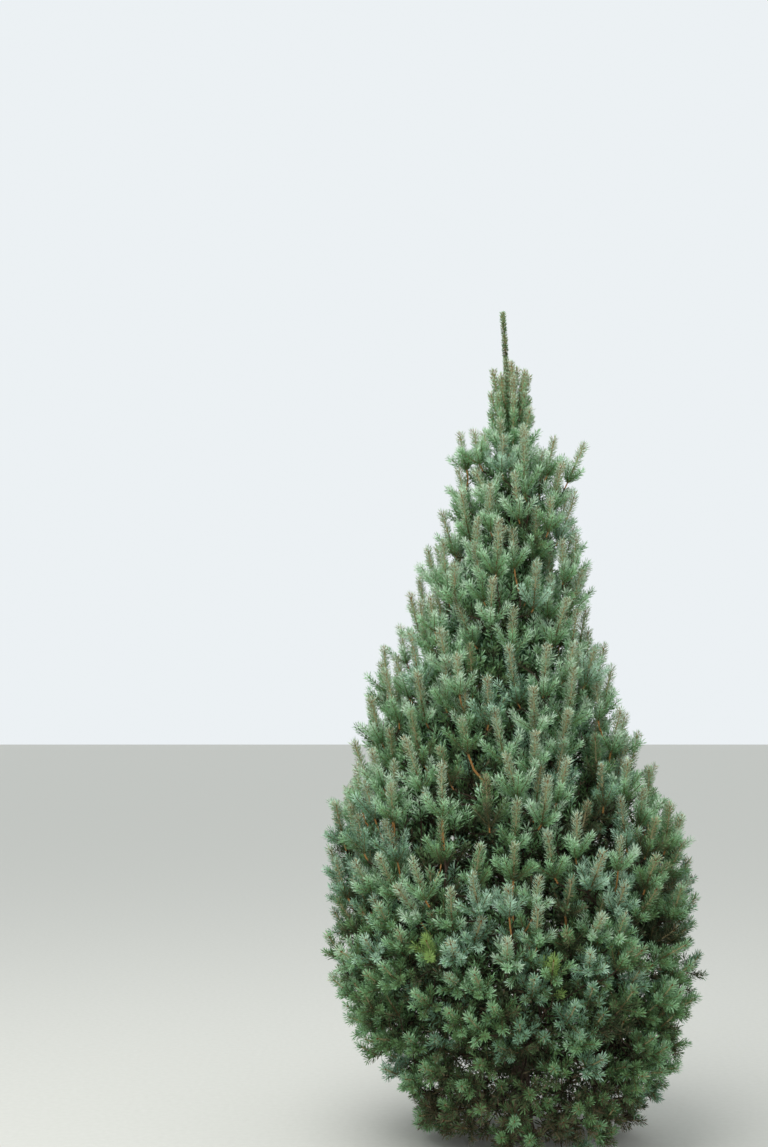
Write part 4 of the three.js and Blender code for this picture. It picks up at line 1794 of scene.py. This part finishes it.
        # Older needles count deeper than they lie, for more painted shade.
        tone = self.tone_rule.at(foot, depth + self.older_deeper, self.random)
        made = Shoots.made(
            foot,
            direction=unit(run),
            length=length,
            needle=needle,
            width=self.older_width * width,
            density=density * per_mm * mix(1.0, more, smooth(z, *self.older_density_heights)),
            tone=np.clip(tone, Tone.DEEP, Tone.DUSK),
            limb=np.repeat(twigs.limb, 3),
        )
        clothed = mix(*self.older_clothed, smooth(z, *self.older_clothed_heights))
        bare = self.random.uniform(size=n) > clothed
        near = (depth < self.inside) & (depth > self.older_from) & (z > self.older_lowest)
        return made.some((length > self.older_shortest) & near & ~bare)

    def shoots(self, twigs: Twigs, depth: Array, length: Array) -> Shoots:
        """Return the tufts' shoots: a leading shoot each, a ring at its foot, and a ring further back.

        Args:
            twigs: The twigs that carry the tufts.
            depth: How deep in the crown each tuft lies.
            length: The length of its leading shoot.

        Returns:
            All the shoots.
        """
        n = len(depth)
        z = twigs.end[:, 2]
        outer = depth < self.shell
        tone = self.tone_rule.at(twigs.end, depth, self.random)
        for place in self.yellow_places:
            away = np.linalg.norm(twigs.end - np.array(place), axis=1)
            tone[np.argmin(np.where(depth < 0.5 * self.shell, away, np.inf))] = Tone.YELLOW
        waxed = self.waxed(twigs.end)
        inner_width, inner_per_mm = self.inner(depth)
        width, per_mm = self.fineness(z)
        bend = 0.05 * UP + self.random.normal(0, 0.04, (n, 3))
        needle = mix(self.inner_length, self.needle_length, outer)
        leading = Shoots.made(
            twigs.end,
            direction=twigs.arriving,
            bend=bend,
            length=np.where(outer, length, length * self.leading_inside),
            needle=needle * self.random.uniform(*self.needle_chance, n),
            width=np.where(outer, width * self.leading_width, inner_width),
            density=np.where(outer, per_mm * self.leading_density, inner_per_mm),
            tone=tone,
            tawny=np.where(outer, mix(*self.tawny, smooth(z, *self.finer_from)), 0.0),
            waxed=waxed,
            crest=np.where(outer, self.crests[0], self.crests[2]),
            leading=True,
            limb=twigs.limb,
        )
        whole = np.maximum(np.linalg.norm(twigs.end - twigs.start, axis=1), 1.0)
        back = mix(*self.lower_ring, self.growth(z)) / whole
        share = 1 - np.clip(back, 0.0, self.lower_ring_furthest)
        foot, along = twigs.places(np.arange(n), share, 20)
        at_end = self.ring(twigs, twigs.end, twigs.arriving, tone, waxed, depth, lower=False)
        own = (foot[outer], along[outer], tone[outer], waxed[outer], depth[outer])
        further = self.ring(twigs.some(outer), *own, lower=True)
        return Shoots.joined([leading, at_end, further])


@dataclass
class Brush:
    """The needles round shoots, and the shoots' own wood with a bud on each tip.

    Angles are in degrees, and the other sizes of needles are shares of their length. A real brush has
    two or three times as many needles, each half as broad, which are too fine to show.
    """

    random: Random
    foot_angle: float = 66.0
    club_angle: float = 44.0
    tip_angle: float = 56.0
    crest_angles: Pair = (4.0, 52.0)
    angle_jitter: float = 8.0
    spin_jitter: float = 0.12
    spin_per_shoot: float = 1.7
    first_needle: float = 0.03
    crowding: float = 0.85
    fewest: int = 6
    foot_size: Pair = (0.5, 0.8)
    full_size_from: Pair = (0.5, 0.2)
    size_chance: Pair = (0.88, 1.1)
    roll: float = 0.3
    widest: float = 0.72
    core_to: float = 0.97
    core_length: float = 0.66
    core_width: float = 1.7
    hook: float = 0.06
    upturn: float = 0.12
    ground: float = 1.0
    # Painted shade on each needle's root face, in tones: less low down, more above.
    brighter: Pair = (0.6, 0.9)
    above: Pair = (400.0, 900.0)
    leading_step: float = 1.25
    side_step: float = 1.75
    # Paler towards the shoot's tip, in tones: partly the bloom of new growth, partly painted light.
    along_step: float = 2.5
    # Painted shade on the short, broad needles, in tones.
    core_step: float = 0.4
    # Low down the tipward paling is weaker and the brush starts paler.
    low_along_step: float = 0.9
    low_step: float = 0.4
    tone_chance: float = 0.15
    tawny_along: Pair = (0.5, 2.0)
    dry_share: float = 0.12
    dry_at_ground: float = 0.7
    dry_heights: Pair = (40.0, 380.0)
    dry_outside: float = 0.75
    outer_density: float = 0.7
    wood_radius: float = 2.9
    bud_radius: float = 3.5
    bud_tip_radius: float = 0.3
    bud_length: float = 9.0
    bud_most: float = 0.3

    def needles(self, shoots: Shoots) -> Surface:
        """Return all the shoots' needles.

        Needle j of a shoot stands at j golden angles round it. It leaves the shoot's direction d at an
        angle q that falls from foot to tip on a leading shoot. On a side shoot it rises, and the needles
        at the foot are short, so the brush is a club. A needle's direction is d cos q + r sin q, with r
        square to d. The last few fan out over the shoot's blunt tip. A needle is a kite of two faces: a
        long one from its root to its widest place, deeper as painted shade, and a paler one from there to
        its tip, bent towards the shoot's tip. Each is rolled a little about its own length, by chance.
        Every third one is shorter, broader and deeper in tone, and stands for the crowd of needle feet near
        the wood; its deeper tone is painted shade.

        Args:
            shoots: The shoots.

        Returns:
            The needles as one surface, with each face's tone as its slot.
        """
        crest = shoots.crest
        count = crest + np.maximum(self.fewest, np.round(shoots.length * shoots.density)).astype(int)
        parent, order = dealt(count)
        many = len(parent)
        share = np.minimum(1.0, (order + 0.5) / (count - crest + 1)[parent]) ** self.crowding
        own = shoots.some(parent)
        root, along = own.at(self.first_needle + (1 - self.first_needle) * share)
        spin = GOLDEN_ANGLE * order + parent * self.spin_per_shoot
        spin = spin + self.random.normal(0, self.spin_jitter, many)
        club = (own.crest > 0) & ~own.leading
        angle = mix(np.where(club, self.club_angle, self.foot_angle), self.tip_angle, share**2)
        angle = np.where(share < 1.0, angle, self.random.uniform(*self.crest_angles, many))
        angle = angle + self.random.normal(0, self.angle_jitter, many)
        aside, out = turned(along, spin, np.radians(angle * own.spread)[:, None])
        direction = unit(aside + UP * self.upturn)
        foot, full = self.foot_size, self.full_size_from
        clubbed, plain = (mix(foot[i], 1.0, smooth(share, 0.0, full[i])) for i in (0, 1))
        core = (order % 3 == 1) & (share < self.core_to)
        size = own.needle * np.where(club, clubbed, plain) * self.random.uniform(*self.size_chance, many)
        size = size * np.where(core, self.core_length, 1.0)
        width = own.width * np.where(core, self.core_width, 1.0)
        root = root + out * self.wood_radius * 0.6
        flat = unit(np.cross(direction, out))
        roll = self.random.uniform(-self.roll * math.pi, self.roll * math.pi, many)[:, None]
        flat = flat * np.cos(roll) + np.cross(direction, flat) * np.sin(roll)
        middle = root + direction * (size * self.widest)[:, None]
        half = flat * width[:, None] / 2
        tip = root + direction * size[:, None] + along * (size * self.hook)[:, None]
        points = np.stack([root, middle - half, middle + half, tip], axis=1)
        points[..., 2] = np.maximum(points[..., 2], self.ground)
        inwards = np.sum(np.cross(direction, half) * (out + along), axis=1) > 0
        kite = np.array([[0, 1, 2], [2, 1, 3]])
        faces = np.where(inwards[:, None, None], kite[:, ::-1], kite)
        faces = faces + (np.arange(many)[:, None] * 4)[:, :, None]
        return Surface(points.reshape(-1, 3), faces.reshape(-1, 3), self.shades(own, share, core).ravel())

    def shades(self, own: Shoots, share: Array, core: Array) -> Array:
        """Return each needle's two faces' tones: paler to its tip and the shoot's tip, partly painted
        light.

        Args:
            own: The shoot of each needle.
            share: How far along the shoot it stands.
            core: Whether it is a short, broad one.

        Returns:
            The tones, shape (n, 2).
        """
        chance = self.random.uniform(size=len(share))
        above = smooth(own.foot[:, 2], *self.above)
        step = np.where(own.leading, self.leading_step, self.side_step)
        # Paler towards the shoot's tip, partly new bloom and partly painted light; painted shade on the
        # short, broad needles.
        level = own.tone + step - self.along_step * share + self.core_step * core
        level = level + (1 - above) * (self.low_along_step * share - self.low_step)
        level = level + self.random.normal(0, self.tone_chance, len(share))
        # Painted shade: the root face of each needle is deeper than its tip face.
        both = np.stack([level + mix(*self.brighter, above), level], axis=1)
        tone = np.clip(np.round(both), Tone.PALE, Tone.DUSK).astype(int)
        waxed = (self.random.uniform(size=len(share)) < own.waxed)[:, None] & (tone <= Tone.DEEP)
        tone = np.where(waxed, np.where(tone <= Tone.FRESH, Tone.WAXED, Tone.WAXED_DEEP), tone)
        tawny = chance > 1.0 - own.tawny * mix(*self.tawny_along, share)
        tone[tawny, 0] = Tone.TAWNY
        bare = mix(self.dry_share, self.dry_at_ground, 1 - smooth(own.foot[:, 2], *self.dry_heights))
        bare = bare * np.where(own.density < self.outer_density, 1.0, self.dry_outside)
        dry = (own.tone >= Tone.DEEP) & (own.tone <= Tone.DUSK) & (chance > 1.0 - bare)
        tone[dry] = Tone.DRY
        tone[own.tone > Tone.DUSK] = Tone.YELLOW
        return tone

    def wood(self, shoots: Shoots) -> Surface:
        """Return the shoots' wood: slim tubes, the leading ones with a bud that closes in a point.

        Args:
            shoots: The shoots.

        Returns:
            All the wood as one surface.
        """
        parts = []
        budded = shoots.leading & (shoots.density > self.outer_density)
        for leading in (True, False):
            own = shoots.some(budded == leading)
            one = np.ones(len(own.length))
            dark = (own.density < self.outer_density)[:, None]
            if leading:
                bud = np.clip(self.bud_length / own.length, 0, self.bud_most)
                shares = [0 * one, 0.5 * one, 1 - bud, 1 - 0.5 * bud, 1 + 0.1 * bud]
                radii = [1.2 * self.wood_radius, 1.2 * self.wood_radius, 1.1 * self.wood_radius]
                radii += [self.bud_radius, self.bud_tip_radius]
                slots = [Wood.SIDE, Wood.STEM, Wood.BUD, Wood.BUD]
            else:
                shares = [0 * one, one]
                radii = [0.8 * self.wood_radius, 0.5 * self.wood_radius]
                slots = [Wood.SIDE]
            lines = np.stack([own.at(share)[0] for share in shares], axis=1)
            bands = np.where(dark, Wood.OLD, np.tile(slots, (len(one), 1)))
            parts.append(tubes(lines, np.tile(radii, (len(one), 1)), 3, bands))
        return Surface.joined(parts)


@dataclass
class TopShoot:
    """The tree's top: the leader with its short needles, and the tight whorl of shoots at its foot.

    Each ring has its height from the leader's foot, its count, tilt, length and share of tawny needles.
    """

    trunk: Trunk
    random: Random
    rings: tuple[tuple[float, int, float, float, float], ...] = (
        (0.0, 4, 11.0, 254.0, 0.5),
        (0.0, 8, 31.0, 236.0, 0.45),
        (-35.0, 8, 42.0, 198.0, 0.3),
        (-80.0, 8, 50.0, 185.0, 0.15),
        (-135.0, 8, 58.0, 170.0, 0.0),
    )
    closing: float = 0.44
    sideways: float = 0.07
    spin_jitter: float = 0.15
    tilt_jitter: float = 4.0
    length_chance: Pair = (0.88, 1.04)
    tone_chance: float = 0.6
    needle: float = 24.0
    needle_width: float = 4.0
    crest: int = 8
    leader_needle: float = 16.5
    leader_gap: float = 13.0
    leader_runs: int = 5

    def row(self, foot: Array, tone: float, **measures: Array | float) -> Shoots:
        """Return leading shoots of the top.

        Args:
            foot: Where each stands.
            tone: Their mean tone.
            measures: Their other measures by name.

        Returns:
            The shoots.
        """
        tones = self.random.uniform(tone - self.tone_chance, tone + self.tone_chance, len(foot))
        same = {"width": self.needle_width, "crest": self.crest, "leading": True}
        return Shoots.made(foot, tone=tones, **same, **measures)

    def shoots(self, limb: int) -> Shoots:
        """Return the top's shoots, and the leader in short lengths end to end.

        The shoots bend back upright, so that the rings close like a bud.

        Args:
            limb: The number that stands for the top among the limbs.

        Returns:
            All the shoots.
        """
        parts = []
        for rise, count, tilt, length, tawny in self.rings:
            foot = self.trunk.centre(np.array(self.trunk.leader_foot + rise))
            shift = self.random.uniform(-self.spin_jitter, self.spin_jitter, count)
            spin = 2 * math.pi * (np.arange(count) + shift) / count
            tilts = self.random.uniform(-self.tilt_jitter, self.tilt_jitter, count)
            climb = np.radians(90 - tilt + tilts)
            way = unit(pointing(spin, climb) + self.sideways * EAST)
            ring = self.row(
                np.repeat(foot[None], count, axis=0),
                1.1,
                direction=way,
                bend=-self.closing * way * (1 - UP),
                length=length * self.random.uniform(*self.length_chance, count),
                needle=self.needle,
                density=1.2,
                tawny=tawny,
                spread=0.85,
                limb=limb,
            )
            parts.append(ring)
        end = self.trunk.height - self.leader_gap
        runs = np.linspace(self.trunk.leader_foot, end, self.leader_runs + 1)
        low, high = self.trunk.centre(runs[:-1]), self.trunk.centre(runs[1:])
        leader = self.row(
            low,
            2.5,
            direction=unit(high - low),
            length=np.linalg.norm(high - low, axis=1),
            needle=self.leader_needle,
            density=2.6,
            tawny=0.45,
            spread=0.95,
            limb=limb,
        )
        return Shoots.joined([*parts, leader])


@dataclass
class Foliage:
    """All the foliage: grown limb by limb, and joined into pieces, needles and twigs apart.

    A whole whorl is one piece, and the others are split so that none has too many triangles.
    """

    crown: Crown
    limbs: list[Limb]
    needle_materials: list[Material]
    wood_materials: list[Material]
    whole_whorls: tuple[int, ...] = (0, 5, 6, 7)
    split: tuple[str, ...] = ("ab", "cd", "e")

    def grow(self, random: Random) -> tuple[Twigs, Shoots, Shoots]:
        """Grow the twigs and tufts.

        Args:
            random: The seeded generator.

        Returns:
            The twigs that carry something, the shoots of all tufts, and the older needles on the twigs.
        """
        rule = TwigRule(self.crown, self.limbs, random)
        strays = rule.strays()
        twigs = Twigs.joined([strays, rule.stem_ends(), rule.twigs(), rule.trunk_twigs()])
        pairs = rule.twiglets(twigs)
        twiglets = Twigs.joined([pairs, rule.fillers(twigs)])
        ends = Twigs.joined([twigs, twiglets])
        tufts = TuftRule(self.crown, random)
        length = tufts.lengths(ends)
        length[: len(STRAYS)] = [stray[6] for stray in STRAYS]
        depth = tufts.depth(ends, length)
        depth[: len(STRAYS)] = tufts.skin + tufts.placed_by_hand
        filler = np.arange(len(depth)) >= len(twigs.radius) + len(pairs.radius)
        taken = tufts.spaced(ends, depth, filler)
        ends.fresh[taken] = depth[taken] < tufts.shell
        carries = np.zeros(len(ends.radius), bool)
        carries[taken] = True
        own, fine = carries[: len(twigs.radius)], carries[len(twigs.radius) :]
        furthest = np.zeros(len(own))
        np.maximum.at(furthest, twiglets.parent[fine], twiglets.share[fine])
        twigs.until = np.where(own, 1.0, furthest)
        twigs.fresh, twiglets.fresh = ends.fresh[: len(own)], ends.fresh[len(own) :]
        outside = np.sum(depth[taken] < tufts.shell)
        LOG.info("tufts %d of %d, %d of them outside", len(taken), len(depth), outside)
        shoots = tufts.shoots(ends.some(taken), depth[taken], length[taken])
        drawn = Twigs.joined([twigs.some(twigs.until > 0), twiglets.some(fine)])
        return drawn, shoots, tufts.older(drawn)

    def groups(self) -> dict[str, list[int]]:
        """Return the limbs of each piece, by its name: the whole whorls, the parts of others, the top."""
        made: dict[str, list[int]] = {}
        for i, limb in enumerate(self.limbs):
            part = next(f"_{letters}" for letters in self.split if limb.name[-1] in letters)
            part = "" if limb.whorl in self.whole_whorls else part
            made.setdefault(f"whorl_{limb.whorl + 1}{part}", []).append(i)
        made["top"] = [len(self.limbs)]
        return made

    def build(self) -> None:
        """Make the needles and the twigs of each group of limbs, and of the top."""
        random = np.random.default_rng(SEED)
        twigs, shoots, older = self.grow(random)
        top = len(self.limbs)
        shoots = Shoots.joined([shoots, TopShoot(self.crown.trunk, random).shoots(top)])
        brush = Brush(random)
        for name, members in self.groups().items():
            nodes = [f"foliage_{self.limbs[i].name}" for i in members if i < top] or ["foliage_top"]
            own = shoots.some(np.isin(shoots.limb, members))
            needles = brush.needles(Shoots.joined([own, older.some(np.isin(older.limb, members))]))
            needles.dress(f"needles_{name}", self.needle_materials, "needles", nodes)
            wood = Surface.joined([brush.wood(own), twigs.some(np.isin(twigs.limb, members)).wood()])
            wood.dress(f"twigs_{name}", self.wood_materials, "bough_bark", nodes)


@dataclass(frozen=True)
class Setting:
    """The pale floor, the overcast light and the camera, which stands at eye height.

    These sizes are in metres, apart from the lens, and the angles are in degrees.
    """

    eye_height: float = 1.55
    distance: float = 5.85
    sideways: float = -0.515
    pitch: float = 5.8
    lens: float = 47.08
    film_width: float = 36.0
    sight: float = 200.0
    sky: str = "#EEF3F6"
    sky_strength: float = 0.98
    lamp_size: float = 5.0
    lamp_power: float = 250.0
    lamp_place: tuple[float, float, float] = (-1.8, -2.2, 6.2)
    lamp_tilt: Pair = (24, -20)
    floor_colours: tuple[str, str] = ("#C9C8C0", "#D3D2CB")
    floor_roughness: float = 0.95
    floor_size: float = 240.0
    grain: float = 0.025
    grain_detail: float = 3.0

    def floor(self) -> None:
        """Lay the floor: one large level sheet with a faint grain."""
        half = self.floor_size / 2 / MM
        points = np.array([[-half, -half, 0], [half, -half, 0], [half, half, 0], [-half, half, 0]], float)
        # Smooth, matt studio floor: it takes soft shadows and has no gloss.
        material, tree, shader, place = new_material("pale_studio_floor")
        noise = {"Vector": place, "Scale": 1.0 / self.grain, "Detail": self.grain_detail}
        grain = add_node(tree, "ShaderNodeTexNoise", noise)
        one, other = (linear(colour) for colour in self.floor_colours)
        shades = {"Factor": grain.outputs["Fac"], "A": one, "B": other}
        tint = add_node(tree, "ShaderNodeMix", shades, data_type="RGBA").outputs["Result"]
        connect(tree, shader, {"Base Color": tint, "Roughness": self.floor_roughness})
        sheet = Surface(points, np.array([[0, 1, 2], [0, 2, 3]]), np.zeros(2, int))
        floor = sheet.piece("floor", [material], shaded_smooth=False)

    def light(self) -> None:
        """Light the scene as an overcast sky does: pale from all round, and more from overhead."""
        world = bpy.data.worlds.new("overcast")
        bpy.context.scene.world = world
        world.use_nodes = True
        background = world.node_tree.nodes["Background"]
        background.inputs["Color"].default_value = linear(self.sky)
        background.inputs["Strength"].default_value = self.sky_strength
        lamp = bpy.data.lights.new("soft_overhead", "AREA")
        lamp.shape = "DISK"
        lamp.size = self.lamp_size
        lamp.energy = self.lamp_power
        holder = bpy.data.objects.new("soft_overhead", lamp)
        holder.location = self.lamp_place
        holder.rotation_euler = (*(math.radians(angle) for angle in self.lamp_tilt), 0)
        bpy.context.scene.collection.objects.link(holder)

    def camera(self) -> None:
        """Set up the camera at the photographed viewing angle."""
        data = bpy.data.cameras.new("camera")
        data.lens = self.lens
        data.sensor_width = self.film_width
        data.clip_end = self.sight
        camera = bpy.data.objects.new("camera", data)
        camera.location = (self.sideways, -self.distance, self.eye_height)
        camera.rotation_euler = (math.radians(90 + self.pitch), 0, 0)
        bpy.context.scene.collection.objects.link(camera)
        bpy.context.scene.camera = camera


def main() -> None:
    """Build every piece in order, and say what each is."""
    logging.basicConfig(level=logging.INFO, format="%(name)s: %(message)s")
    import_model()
    setting = Setting()
    setting.camera()
    setting.light()
    setting.floor()
    bpy.context.scene.view_settings.view_transform = "Standard"
    trunk = Trunk()
    trunk.build()
    rule = LimbRule(Crown(trunk))
    limbs = rule.limbs()
    rule.build(limbs)
    needle_materials = [NEEDLES[tone].material() for tone in Tone]
    wood_materials = [WOODS[wood].material() for wood in Wood]
    Foliage(Crown(trunk, FINE_OUTLINE), limbs, needle_materials, wood_materials).build()


if __name__ == "__main__":
    main()
